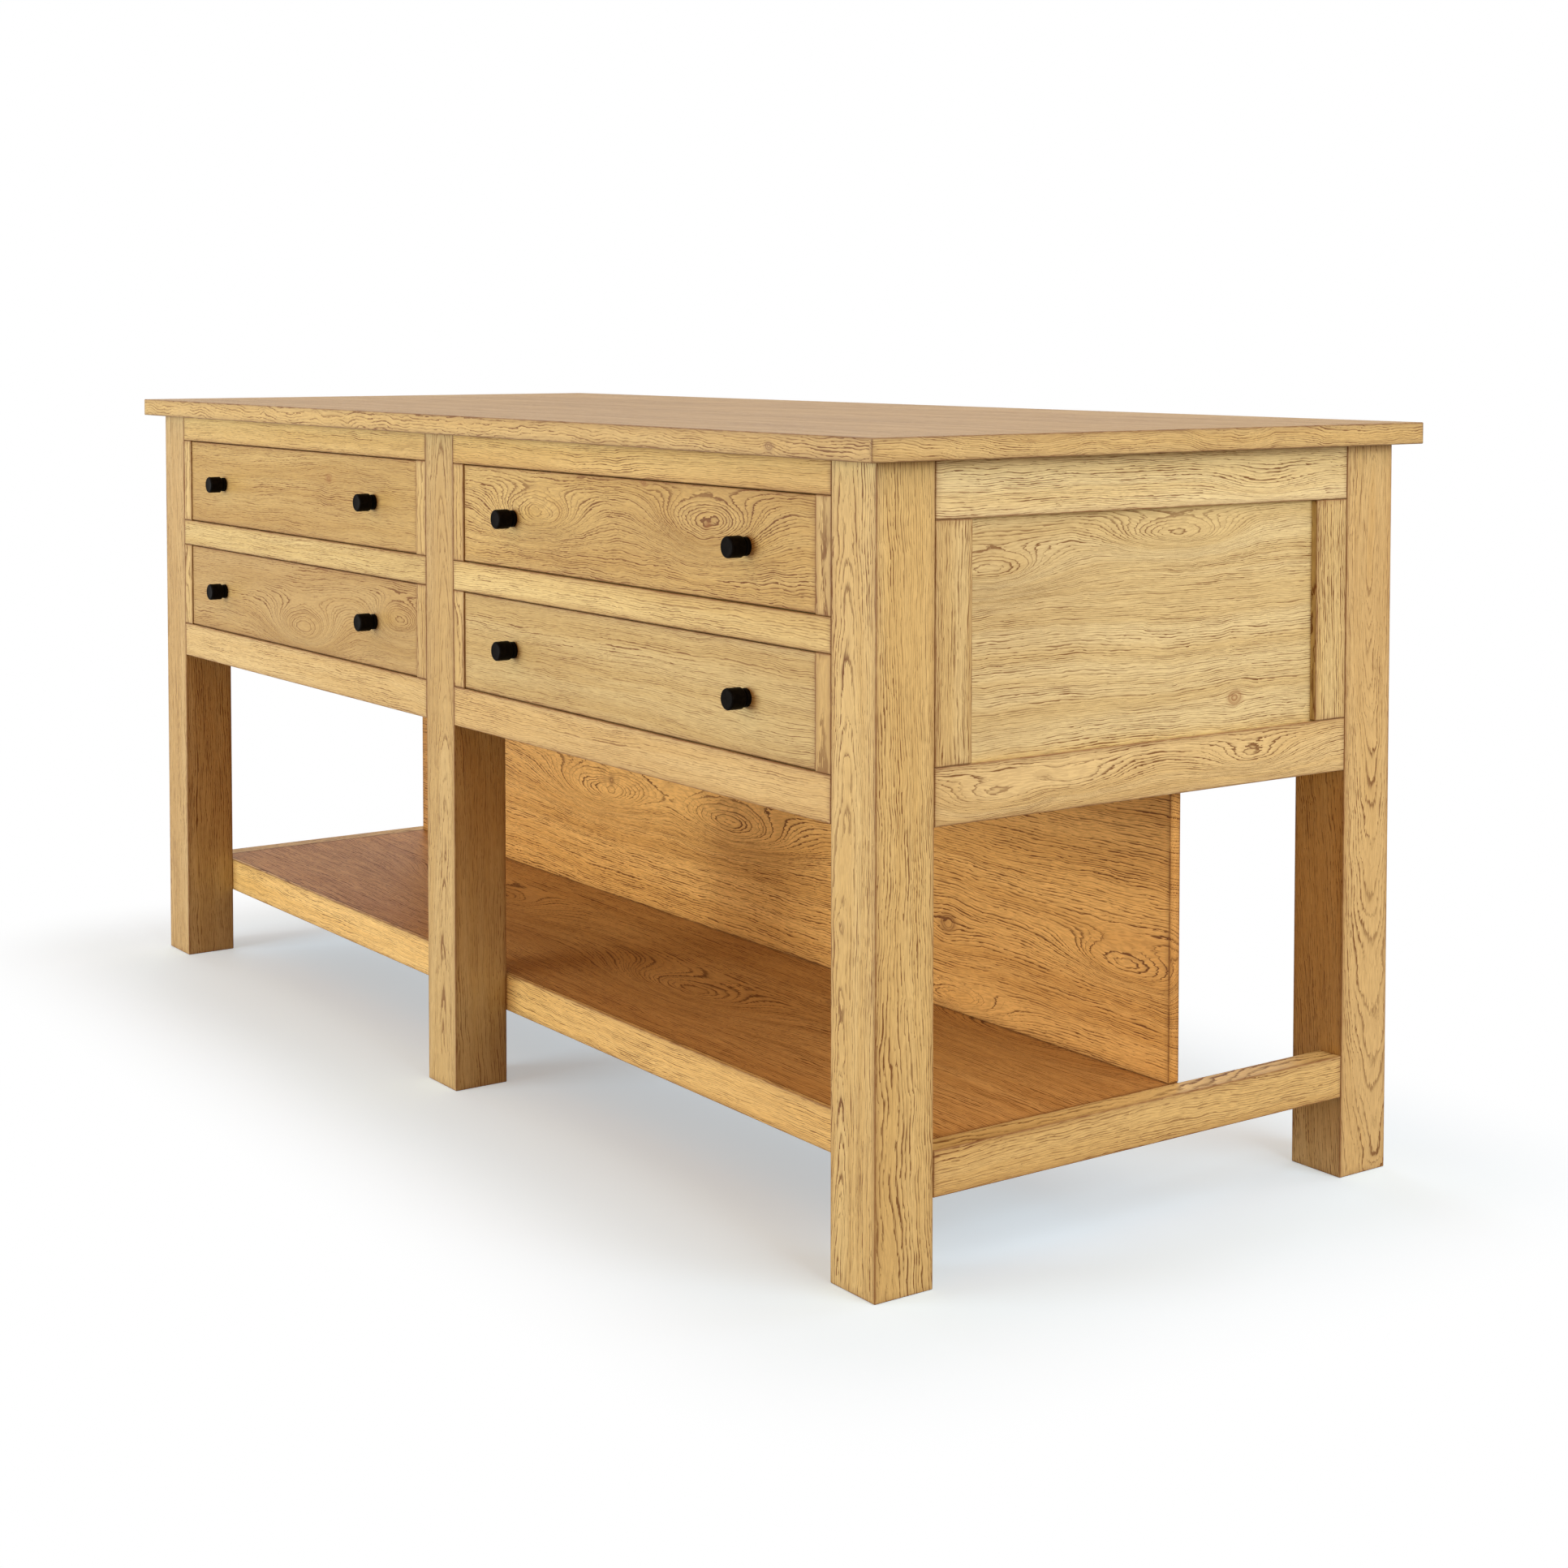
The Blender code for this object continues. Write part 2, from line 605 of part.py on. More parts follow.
clear_scene()
parts = new_collection("kitchen island")
helpers = new_collection("cutters and joints")
top_oak = finish("worktop oak", (0.55, 0.34, 0.14), 0.5)
leg_oak = finish("leg oak", (0.62, 0.40, 0.16), 0.55)
rail_oak = finish("rail oak", (0.63, 0.41, 0.17), 0.55)
panel_oak = finish("panel oak", (0.58, 0.36, 0.14), 0.55)
front_oak = finish("drawer front oak", (0.61, 0.39, 0.15), 0.55)
inner_oak = finish("drawer box oak", (0.60, 0.42, 0.21), 0.65)
black_metal = finish("black knob metal", (0.012, 0.012, 0.013), 0.4, 0.6)

build_worktop()
build_legs()
for bay_name in BAYS:
    build_front_frame(bay_name)
    build_runner_boards(bay_name)
for end_name in ENDS:
    build_end_frame(end_name)
build_rear_rail()
build_shelf()
for bay_name in BAYS:
    for level_name in OPENING_TOPS:
        build_drawer(bay_name, level_name)
cut_sockets()
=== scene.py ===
"""Looks of an oak kitchen island with inset drawers, a low shelf and a knee space behind.

Every board keeps its solid and gets an oak of its own: growth rings cut as that board was cut from
its log, rows of pores that follow them, knots, and arrises gone brown, partly as wear and partly as
painted shade in joints and gaps. The boards' tints also carry painted light and shade, and the
worktop's top face and the shelf are painted darker as shade. The knobs are turned again, finer than
their solids. A pale floor, a few softboxes and the photograph's camera stand round it.
"""

import logging
import math
import random
from collections.abc import Iterator, Mapping, Sequence
from dataclasses import dataclass, replace
from enum import Enum
from typing import Any, ClassVar

import bpy
import numpy as np
from mathutils import Euler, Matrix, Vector


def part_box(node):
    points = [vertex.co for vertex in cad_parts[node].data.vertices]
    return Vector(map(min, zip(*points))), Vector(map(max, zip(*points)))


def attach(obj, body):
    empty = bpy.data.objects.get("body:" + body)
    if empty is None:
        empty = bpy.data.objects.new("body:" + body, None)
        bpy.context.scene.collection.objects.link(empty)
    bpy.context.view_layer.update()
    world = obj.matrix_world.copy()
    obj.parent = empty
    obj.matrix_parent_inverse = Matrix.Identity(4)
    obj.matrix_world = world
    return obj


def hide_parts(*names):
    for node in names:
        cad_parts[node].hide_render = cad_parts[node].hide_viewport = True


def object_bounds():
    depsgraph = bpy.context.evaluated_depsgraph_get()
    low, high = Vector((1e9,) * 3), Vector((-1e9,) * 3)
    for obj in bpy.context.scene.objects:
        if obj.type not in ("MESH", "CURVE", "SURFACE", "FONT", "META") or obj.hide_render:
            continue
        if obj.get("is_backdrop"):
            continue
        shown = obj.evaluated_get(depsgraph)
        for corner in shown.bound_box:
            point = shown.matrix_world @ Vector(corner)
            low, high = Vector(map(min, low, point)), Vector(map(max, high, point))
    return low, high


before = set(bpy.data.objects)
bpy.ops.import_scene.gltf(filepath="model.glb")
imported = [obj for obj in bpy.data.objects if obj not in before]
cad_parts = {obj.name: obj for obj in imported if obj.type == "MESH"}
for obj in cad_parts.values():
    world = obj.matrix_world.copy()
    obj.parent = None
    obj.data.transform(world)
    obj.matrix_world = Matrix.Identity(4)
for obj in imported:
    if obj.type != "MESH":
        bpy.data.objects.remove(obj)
CAD_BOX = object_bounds()

LOG = logging.getLogger("island")

Colour = tuple[float, float, float]
Point = tuple[float, float, float]
Pair = tuple[float, float]


class Axis(Enum):
    """A direction of the row frame, which the grain of a board can follow."""

    X = 0
    Y = 1
    Z = 2


class Side(Enum):
    """A side of the island, as seen from its front."""

    LEFT = "left"
    RIGHT = "right"


class Level(Enum):
    """A row of drawers."""

    UPPER = "upper"
    LOWER = "lower"


class Signal:
    """A number that changes over a surface: a socket whose arithmetic adds Math nodes."""

    def __init__(self, graph: "Graph", socket: bpy.types.NodeSocket) -> None:
        """Wraps a socket of a graph."""
        self.graph = graph
        self.socket = socket

    def math(self, operation: str, *operands: "Signal | float") -> "Signal":
        """Adds a Math node.

        Args:
            operation: the Math node's operation.
            operands: its inputs, in order.

        Returns:
            The node's result.
        """
        made = self.graph.node("ShaderNodeMath", {"operation": operation}, dict(enumerate(operands)))
        return self.graph.signal(made)

    def __add__(self, other: "Signal | float") -> "Signal":
        """This plus other."""
        return self.math("ADD", self, other)

    def __radd__(self, other: float) -> "Signal":
        """Other plus this."""
        return self.math("ADD", other, self)

    def __sub__(self, other: "Signal | float") -> "Signal":
        """This less other."""
        return self.math("SUBTRACT", self, other)

    def __rsub__(self, other: float) -> "Signal":
        """Other less this."""
        return self.math("SUBTRACT", other, self)

    def __mul__(self, other: "Signal | float") -> "Signal":
        """This times other."""
        return self.math("MULTIPLY", self, other)

    def __truediv__(self, other: "Signal | float") -> "Signal":
        """This over other."""
        return self.math("DIVIDE", self, other)

    def root(self) -> "Signal":
        """The square root."""
        return self.math("SQRT", self)

    def size(self) -> "Signal":
        """The value without its sign."""
        return self.math("ABSOLUTE", self)

    def exp(self) -> "Signal":
        """The natural exponent."""
        return self.math("EXPONENT", self)

    def least(self, other: "Signal") -> "Signal":
        """The smaller of the two."""
        return self.math("MINIMUM", self, other)

    def most(self, other: "Signal") -> "Signal":
        """The larger of the two."""
        return self.math("MAXIMUM", self, other)


Feed = Signal | bpy.types.NodeSocket | float | Sequence[float]


class Graph:
    """The node tree of one material or of the world, filled from Python expressions."""

    def __init__(self, tree: bpy.types.NodeTree) -> None:
        """Empties the tree."""
        self.tree = tree
        tree.nodes.clear()

    def plug(self, socket: bpy.types.NodeSocket, feed: Feed) -> None:
        """Links a socket to a signal or another socket, or sets its value.

        Args:
            socket: the input to feed.
            feed: what it gets, where a colour is three numbers.
        """
        if isinstance(feed, Signal):
            self.tree.links.new(feed.socket, socket)
        elif isinstance(feed, bpy.types.NodeSocket):
            self.tree.links.new(feed, socket)
        elif socket.type == "RGBA":
            socket.default_value = (*feed, 1.0)
        else:
            socket.default_value = feed

    def node(
        self,
        kind: str,
        settings: Mapping[str, Any] | None = None,
        inputs: Mapping[int | str, Feed] | None = None,
    ) -> bpy.types.Node:
        """Adds a node.

        Args:
            kind: the node's type.
            settings: its properties, set before the inputs.
            inputs: values or links of its sockets, by name or number.

        Returns:
            The node.
        """
        made = self.tree.nodes.new(kind)
        for name, value in (settings or {}).items():
            setattr(made, name, value)
        for key, feed in (inputs or {}).items():
            self.plug(made.inputs[key], feed)
        return made

    def signal(self, made: bpy.types.Node, output: int | str = 0) -> Signal:
        """One output of a node as a number."""
        return Signal(self, made.outputs[output])

    def vector_math(self, operation: str, first: Feed, second: Feed) -> bpy.types.NodeSocket:
        """Adds a Vector Math node and gives its vector."""
        made = self.node("ShaderNodeVectorMath", {"operation": operation}, {0: first, 1: second})
        return made.outputs["Vector"]

    def split(self, vector: bpy.types.NodeSocket) -> list[Signal]:
        """The three numbers of a vector."""
        made = self.node("ShaderNodeSeparateXYZ", inputs={0: vector})
        return [self.signal(made, index) for index in range(3)]

    def join(self, x: Feed, y: Feed, z: Feed) -> bpy.types.NodeSocket:
        """A vector from three numbers."""
        return self.node("ShaderNodeCombineXYZ", inputs={0: x, 1: y, 2: z}).outputs[0]

    def noise(self, vector: Feed, detail: float, flat: bool = False) -> bpy.types.Node:
        """Adds a noise whose cells are one unit of the vector across.

        Args:
            vector: where the noise is read.
            detail: how many finer layers it has.
            flat: whether only the first two numbers of the vector count.

        Returns:
            The noise node.
        """
        settings = {"noise_dimensions": "2D" if flat else "3D"}
        inputs = {"Vector": vector, "Scale": 1.0, "Detail": detail, "Roughness": 0.5}
        return self.node("ShaderNodeTexNoise", settings, inputs)

    def mottle(self, place: bpy.types.NodeSocket, cells: float, detail: float) -> Signal:
        """An even noise over a place, with so many cells in a metre."""
        return self.signal(self.noise(self.vector_math("MULTIPLY", place, (cells,) * 3), detail))

    def step(self, value: Signal, low: Feed, high: Feed) -> Signal:
        """A smooth step over a range of a value.

        Args:
            value: what is measured.
            low: where the step starts.
            high: where it ends.

        Returns:
            0 below the range and 1 above it.
        """
        settings = {"interpolation_type": "SMOOTHSTEP"}
        inputs = {"Value": value, "From Min": low, "From Max": high}
        return self.signal(self.node("ShaderNodeMapRange", settings, inputs))

    def blend(self, factor: Feed, first: Feed, second: Feed, mode: str = "MIX") -> bpy.types.NodeSocket:
        """Mixes two colours.

        Args:
            factor: share of the second.
            first: colour shown where the factor is 0.
            second: colour mixed in.
            mode: how they mix.

        Returns:
            The mixed colour.
        """
        settings = {"data_type": "RGBA", "blend_type": mode}
        made = self.node("ShaderNodeMix", settings, {0: factor, 6: first, 7: second})
        return made.outputs[2]

    def choose(self, factor: Signal, first: Feed, second: Feed) -> bpy.types.NodeSocket:
        """Mixes two vectors by a factor."""
        made = self.node("ShaderNodeMix", {"data_type": "VECTOR"}, {0: factor, 4: first, 5: second})
        return made.outputs[1]

    def mix_shaders(self, factor: Feed, first: bpy.types.Node, second: bpy.types.Node) -> bpy.types.Node:
        """Mixes two shaders, where the factor is the share of the second."""
        inputs = {0: factor, 1: first.outputs[0], 2: second.outputs[0]}
        return self.node("ShaderNodeMixShader", inputs=inputs)


@dataclass(frozen=True)
class Eye:
    """An oval swirl in the growth rings, where the log had a bump.

    Attributes:
        at: its middle, on the face that shows it.
        length: half its length along the grain.
        width: half its width.
        rise: how far the rings are lifted in its middle.
    """

    at: Point
    length: float
    width: float
    rise: float


@dataclass(frozen=True)
class Knot:
    """The root of a branch, which the grain flows round.

    Attributes:
        at: its middle, on the face that shows it.
        radius: half its width across the grain.
        stretch: its length over its width.
    """

    at: Point
    radius: float
    stretch: float = 1.3


@dataclass(frozen=True)
class Figure:
    """How a board was cut from its log.

    Attributes:
        pith_across: distance of the log's middle from the board's, across its face.
        pith_depth: the same through its thickness.
        tilt: slope of the log's middle along the board, which draws arches on its face.
        lean: the same across its face, which draws them on its side.
        eyes: swirls.
        knots: knots.
        across_range: how far off a drawn figure's pith lies across the face.
        depth_range: the same through the thickness.
        tilt_range: a drawn figure's tilt.
    """

    pith_across: float
    pith_depth: float
    tilt: float
    lean: float = 0.0
    eyes: tuple[Eye, ...] = ()
    knots: tuple[Knot, ...] = ()
    across_range: ClassVar[Pair] = (0.14, 0.40)
    depth_range: ClassVar[Pair] = (0.05, 0.12)
    tilt_range: ClassVar[Pair] = (-0.03, 0.03)

    @classmethod
    def drawn(cls, name: str) -> "Figure":
        """A figure drawn at random.

        Args:
            name: what it is drawn from, so that a name always gives the same figure.

        Returns:
            The figure.
        """
        draw = random.Random(name)
        across = draw.choice((-1, 1)) * draw.uniform(*cls.across_range)
        depth = draw.choice((-1, 1)) * draw.uniform(*cls.depth_range)
        return cls(across, depth, draw.uniform(*cls.tilt_range))


@dataclass(frozen=True)
class OakTone:
    """The colours of one sort of oak board, in linear light, and its gloss.

    Attributes:
        pale: the open wood between the growth rings.
        honey: the rings' own colour.
        brown: broad darker clouds.
        pore: the rows of pores.
        knot: the heart of a knot.
        edge: arrises gone brown, partly as wear and partly as painted shade in joints and gaps.
        roughness: of the lacquer.
        sheen: how strongly the lacquer mirrors, where 0.5 is plain lacquer.
    """

    pale: Colour
    honey: Colour
    brown: Colour
    pore: Colour
    knot: Colour
    edge: Colour
    roughness: float
    sheen: float = 0.28

    def tinted(self, tint: Colour) -> "OakTone":
        """The same oak in another tint.

        Args:
            tint: what its open wood, rings and clouds are multiplied by.

        Returns:
            The tinted oak.
        """

        def dyed(colour: Colour) -> Colour:
            """One colour of the oak, tinted."""
            return tuple(part * share for part, share in zip(colour, tint))

        return replace(self, pale=dyed(self.pale), honey=dyed(self.honey), brown=dyed(self.brown))


SHOW_OAK = OakTone(
    pale=(0.835, 0.625, 0.270),
    honey=(0.755, 0.532, 0.205),
    brown=(0.53, 0.33, 0.115),
    pore=(0.190, 0.086, 0.020),
    knot=(0.30, 0.135, 0.036),
    edge=(0.21, 0.088, 0.022),
    roughness=0.46,
)
# Painted shade: a darker copy of the show oak for the worktop's top face, which is the same wood as its
# sides.
SHADED_TOP_OAK = OakTone(
    pale=(0.52, 0.408, 0.172),
    honey=(0.44, 0.326, 0.126),
    brown=(0.326, 0.219, 0.075),
    pore=(0.16, 0.072, 0.021),
    knot=(0.20, 0.09, 0.032),
    edge=(0.16, 0.068, 0.018),
    roughness=0.50,
    sheen=0.46,
)
# Partly painted shade: a redder oak for the shelf and back panel, standing in for the warm shade under the
# drawers as well as their tone.
AMBER_SHADE_OAK = OakTone(
    pale=(0.88, 0.53, 0.155),
    honey=(0.76, 0.43, 0.112),
    brown=(0.54, 0.27, 0.066),
    pore=(0.18, 0.076, 0.018),
    knot=(0.20, 0.085, 0.024),
    edge=(0.16, 0.062, 0.014),
    roughness=0.46,
    sheen=0.17,
)
BOX_OAK = OakTone(
    pale=(0.74, 0.53, 0.27),
    honey=(0.66, 0.45, 0.21),
    brown=(0.56, 0.37, 0.16),
    pore=(0.34, 0.19, 0.080),
    knot=(0.26, 0.13, 0.050),
    edge=(0.30, 0.16, 0.060),
    roughness=0.58,
)


@dataclass(frozen=True)
class CrossGrain:
    """A part of a piece whose grain runs another way than the rest.

    Attributes:
        grain: the way that it runs there.
        axis: the axis along which the part is told from the rest.
        beyond: distance from the middle, along that axis, past which the part lies.
        inside: whether the part lies on the near side of that distance instead.
    """

    grain: Axis
    axis: Axis
    beyond: float
    inside: bool = False


@dataclass(frozen=True)
class ShadeBorder:
    """A border round the sides of a board that keeps the plain oak, where the board inside it is painted
    darker as shade.

    Attributes:
        tone: its colours.
        width: how far it reaches in from the sides.
        seam: share of its width where it starts to give way to the board.
    """

    tone: OakTone
    width: float
    seam: float = 0.9


@dataclass(frozen=True)
class Board:
    """A CAD node that is one board.

    Attributes:
        node: the node's name.
        grain: the axis that its grain follows.
        tone: its colours.
        trim: length of the tenon or tongue on each end, which no edge line follows.
        figure: how it was cut, or None to draw one.
        cross: a part whose grain runs another way.
        tint: how its colour differs from its sort, partly in tone and partly as painted light and shade, or
            None to draw a slight difference.
        shade_border: the border round its sides that keeps the plain oak, where the rest is painted shade.
        strength: how dark its grain is, where 1 is usual.
        rows: rows of pores in a metre across its growth rings.
        waver: how much its lines waver, where 1 is usual.
        level_range: how bright a drawn tint is.
        gold_range: how much blue it keeps.
    """

    node: str
    grain: Axis
    tone: OakTone = SHOW_OAK
    trim: float = 0.0
    figure: Figure | None = None
    cross: CrossGrain | None = None
    tint: Colour | None = None
    shade_border: ShadeBorder | None = None
    strength: float = 1.0
    rows: float = 450.0
    waver: float = 1.0
    level_range: ClassVar[Pair] = (0.95, 1.05)
    gold_range: ClassVar[Pair] = (0.95, 1.08)

    def colours(self) -> OakTone:
        """The board's own colours.

        Returns:
            Its sort of oak in its own tint, or in one drawn from its name.
        """
        if self.tint:
            return self.tone.tinted(self.tint)
        draw = random.Random(f"{self.node} tint")
        level = draw.uniform(*self.level_range)
        gold = draw.uniform(*self.gold_range)
        return self.tone.tinted((level, level * (1 + gold) / 2, level * gold))

    def dress(self) -> str:
        """Gives the node its oak.

        Returns:
            The node's name.
        """
        fabric = OakFinish(self).material()
        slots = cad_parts[self.node].data.materials
        slots.clear()
        slots.append(fabric)
        return self.node


@dataclass(frozen=True)
class OakScale:
    """Sizes and strengths of the oak's figure.

    Where a noise has a pair of sizes, they are cells in a metre along and across the grain. A range
    is where a smooth step starts and ends. A depth is a share of the darker colour.

    Attributes:
        wander: sizes of the slow bend of the grain.
        wander_reach: how far it bends, in metres.
        wobble: sizes of the quick waver of the lines.
        wobble_reach: how far they waver, in metres.
        band: sizes of the broad bands of paler and darker rings.
        band_range: range of the bands, from pale to honey.
        cloud_range: range of the brown clouds.
        cloud_depth: depth of the clouds.
        patch: sizes of the patches where the pores are fainter.
        patch_range: range of the patches.
        patch_share: strength of the pores in a faint patch, and what is added out of it.
        row_drift: how unevenly the rows of pores are spaced, as a number of rows.
        row_waver: how far the fibres push a row, as a number of rows.
        row_breaks: cells in a metre of the noise that breaks a row.
        row_apart: how far that noise is moved from row to row, along and across.
        row_noise: its least value and its span.
        line: depth of a row at its start.
        line_taper: how fast the row's line thins out.
        line_range: range of the line.
        flank: depth of the row's flank.
        flank_taper: how fast the flank thins out.
        flank_range: range of the flank.
        fibre: sizes of the fine grain between the rows.
        fibre_range: range of the fine grain.
        fibre_depth: depth of the fine grain.
        eye_drop: how far a swirl's heart lies off its middle, as a share of its width.
        eye_push: share of a swirl's rise that pushes all the figure aside.
        eye_lift: share of it that lifts the rings alone.
        knot_flow: how soon the grain closes again beside a knot.
        knot_range: range of a knot, as squared distance.
        knot_circles: cells of the circles in a knot's radius.
        circle_range: range of the circles.
        knot_depth: depth of a knot between its circles, and what they add.
        wear_and_shade_mottle: cells in a metre of the unevenness of the brown edges, worn and painted shade
            both.
        wear_and_shade_reach: how far it moves them, in metres.
        arris_range: range of the line along an arris, in metres.
        arris_depth: depth of that line, partly wear and partly painted shade.
        shade_halo_range: range of the painted shade beside it, in metres.
        shade_halo_depth: depth of that painted shade.
        relief: depth of the pores, in metres.
        relief_strength: how much of it shows.
        fibre_relief: depth of the fine grain over that of the pores.
        pore_roughness: how much rougher the pores are.
    """

    wander: Pair = (1.5, 5.0)
    wander_reach: float = 0.040
    wobble: Pair = (22.0, 30.0)
    wobble_reach: float = 0.0060
    band: Pair = (1.1, 42.0)
    band_range: Pair = (0.30, 0.70)
    cloud_range: Pair = (0.48, 0.78)
    cloud_depth: float = 0.32
    patch: Pair = (5.0, 24.0)
    patch_range: Pair = (0.38, 0.62)
    patch_share: Pair = (0.70, 0.50)
    row_drift: float = 4.0
    row_waver: float = 0.85
    row_breaks: float = 11.0
    row_apart: Pair = (3.7, 7.31)
    row_noise: Pair = (0.1, 0.8)
    line: float = 0.62
    line_taper: float = 1.0
    line_range: Pair = (0.24, 0.42)
    flank: float = 0.16
    flank_taper: float = 0.5
    flank_range: Pair = (0.26, 0.50)
    fibre: Pair = (60.0, 800.0)
    fibre_range: Pair = (0.34, 0.66)
    fibre_depth: float = 0.20
    eye_drop: float = 0.3
    eye_push: float = 0.4
    eye_lift: float = 0.6
    knot_flow: float = 0.45
    knot_range: Pair = (0.4, 2.4)
    knot_circles: float = 4.0
    circle_range: Pair = (0.4, 0.6)
    knot_depth: Pair = (0.28, 0.50)
    wear_and_shade_mottle: float = 45.0
    wear_and_shade_reach: float = 0.003
    arris_range: Pair = (0.0002, 0.0024)
    arris_depth: float = 0.52
    shade_halo_range: Pair = (0.0, 0.010)
    shade_halo_depth: float = 0.28
    relief: float = 0.0005
    relief_strength: float = 0.5
    fibre_relief: float = 0.5
    pore_roughness: float = 0.15


class OakFinish:
    """Lacquered oak for one board.

    A ring's number is its distance from the log's middle, so a face of the board cuts the rings in
    arches or in lines. Colour follows that distance, and so do the rows of pores.

    Attributes:
        scale: the sizes of its figure.
        drift: how far its noises are moved from board to board, in cells.
    """

    scale: ClassVar[OakScale] = OakScale()
    drift: ClassVar[float] = 40.0

    def __init__(self, board: Board) -> None:
        """Reads the board's box and starts its material.

        Args:
            board: the board to dress.
        """
        self.board = board
        self.tone = board.colours()
        self.figure = board.figure or Figure.drawn(board.node)
        low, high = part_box(board.node)
        self.middle = (low + high) / 2
        self.half = (high - low) / 2
        along = board.grain.value
        self.half[along] -= board.trim
        others = [axis for axis in range(3) if axis != along]
        self.order = (along, *sorted(others, key=lambda axis: -round(self.half[axis], 3)))
        seed = random.Random(f"{board.node} grain")
        self.offset = [seed.uniform(-self.drift, self.drift) for _ in range(3)]
        self.fabric = bpy.data.materials.new(f"oak {board.node}")
        self.fabric.use_nodes = True
        self.graph = Graph(self.fabric.node_tree)
        self.place = self.centred()
        # Painted shade: 1 where the board is painted darker inside its border.
        self.shaded_core = self.inside_shade_border()

    def centred(self) -> bpy.types.NodeSocket:
        """The place on the board, from its middle.

        Returns:
            The place in the row frame, in metres.
        """
        coordinates = self.graph.node("ShaderNodeTexCoord").outputs["Object"]
        inputs = {"Vector": coordinates, "Location": -self.middle}
        return self.graph.node("ShaderNodeMapping", {"vector_type": "POINT"}, inputs).outputs["Vector"]

    def inside_shade_border(self) -> Signal | None:
        """Tells the board's painted-shade inside from the border round it.

        Returns:
            0 on the border and 1 on the painted-shade inside, or None where there is no border.
        """
        shade_border = self.board.shade_border
        if shade_border is None:
            return None
        x, y = (half - part.size() for half, part in zip(self.half[:2], self.graph.split(self.place)))
        return self.graph.step(x.least(y), shade_border.width * shade_border.seam, shade_border.width)

    def spread(self, sizes: Pair) -> list[float]:
        """Numbers along and across the grain as a vector of the row frame."""
        return [sizes[0] if axis == self.order[0] else sizes[1] for axis in range(3)]

    def shaken(self, sizes: Pair, detail: float) -> bpy.types.NodeSocket:
        """A noise of three numbers over the board.

        Args:
            sizes: its cells in a metre, along and across the grain.
            detail: how many finer layers it has.

        Returns:
            The noise as a colour.
        """
        stretched = self.graph.vector_math("MULTIPLY", self.place, self.spread(sizes))
        moved = self.graph.vector_math("ADD", stretched, self.offset)
        return self.graph.noise(moved, detail).outputs["Color"]

    def bent(self) -> bpy.types.NodeSocket:
        """Bends the grain.

        Returns:
            The place on the board, pushed aside by the wander and the waver of the grain.
        """
        graph = self.graph
        scale = self.scale
        place = self.place
        for sizes, reach, detail in (
            (scale.wander, scale.wander_reach, 2.0),
            (scale.wobble, scale.wobble_reach * self.board.waver, 1.0),
        ):
            noise = graph.vector_math("SUBTRACT", self.shaken(sizes, detail), (0.5, 0.5, 0.5))
            push = graph.vector_math("MULTIPLY", noise, (reach, reach, reach))
            place = graph.vector_math("ADD", place, push)
        return place

    def nearness(self, vector: Feed, at: Point | Vector, length: float, width: float) -> Signal:
        """Squared distance from a point, as an ellipse counts it.

        Args:
            vector: the place.
            at: the point, in the row frame.
            length: what counts as 1 along the grain.
            width: what counts as 1 across it.

        Returns:
            The squared distance.
        """
        graph = self.graph
        away = graph.vector_math("SUBTRACT", vector, Vector(at) - self.middle)
        scaled = graph.vector_math("MULTIPLY", away, self.spread((1 / length, 1 / width)))
        made = graph.node("ShaderNodeVectorMath", {"operation": "DOT_PRODUCT"}, {0: scaled, 1: scaled})
        return graph.signal(made, "Value")

    def turned(self, vector: bpy.types.NodeSocket) -> list[Signal]:
        """A place as distances along, across and through the board.

        Args:
            vector: the place to split.

        Returns:
            The three distances, turned where the grain runs another way.
        """
        graph = self.graph
        parts = graph.split(vector)
        along, across, through = (parts[axis] for axis in self.order)
        cross = self.board.cross
        if cross is None:
            return [along, across, through]
        reach = graph.split(self.place)[cross.axis.value].size()
        mask = reach.math("LESS_THAN" if cross.inside else "GREATER_THAN", reach, cross.beyond)
        rest = [axis for axis in range(3) if axis != cross.grain.value]
        other = graph.join(parts[cross.grain.value], parts[rest[0]], parts[rest[1]])
        return graph.split(graph.choose(mask, graph.join(along, across, through), other))

    def edge_distance(self) -> Signal:
        """Distance from the nearest arris: of the distances to the box's faces, the middle one."""
        x, y, z = (half - part.size() for half, part in zip(self.half, self.graph.split(self.place)))
        return x.least(y).most(x.most(y).least(z))

    def hue(self, name: str) -> Feed:
        """One of the board's colours.

        Args:
            name: the colour's name among the tone's.

        Returns:
            The colour, which is the border's on the sides of a board whose inside is painted shade.
        """
        own = getattr(self.tone, name)
        if self.shaded_core is None:
            return own
        return self.graph.blend(self.shaded_core, getattr(self.board.shade_border.tone, name), own)

    def flowed(self, across: Signal, knots: list[Signal]) -> Signal:
        """Lets the grain flow round the board's knots.

        Args:
            across: distance across the board.
            knots: squared distance from each knot.

        Returns:
            That distance as the grain counts it.
        """
        for knot, far in zip(self.figure.knots, knots):
            middle = (Vector(knot.at) - self.middle)[self.order[1]]
            across = across - (across - middle) / (1 + far * self.scale.knot_flow)
        return across

    def rings(
        self, bent: bpy.types.NodeSocket, along: Signal, across: Signal, through: Signal
    ) -> tuple[Signal, Signal]:
        """The growth rings, lifted where the board has swirls.

        Args:
            bent: the place on the board.
            along: distance along the grain.
            across: distance across the board.
            through: distance through it.

        Returns:
            Distance from the log's middle, and the distance across that the swirls leave.
        """
        figure = self.figure
        swirl: Signal | float = 0.0
        for eye in figure.eyes:
            heart = Vector(eye.at)
            heart[self.order[1]] -= self.scale.eye_drop * eye.width
            lift = (0 - self.nearness(bent, heart, eye.length, eye.width)).exp() * eye.rise
            across = across + lift * self.scale.eye_push
            swirl = swirl + lift * self.scale.eye_lift
        level = through - figure.pith_depth + along * figure.tilt
        side = across + swirl - figure.pith_across + along * figure.lean
        return (level * level + side * side).root(), across

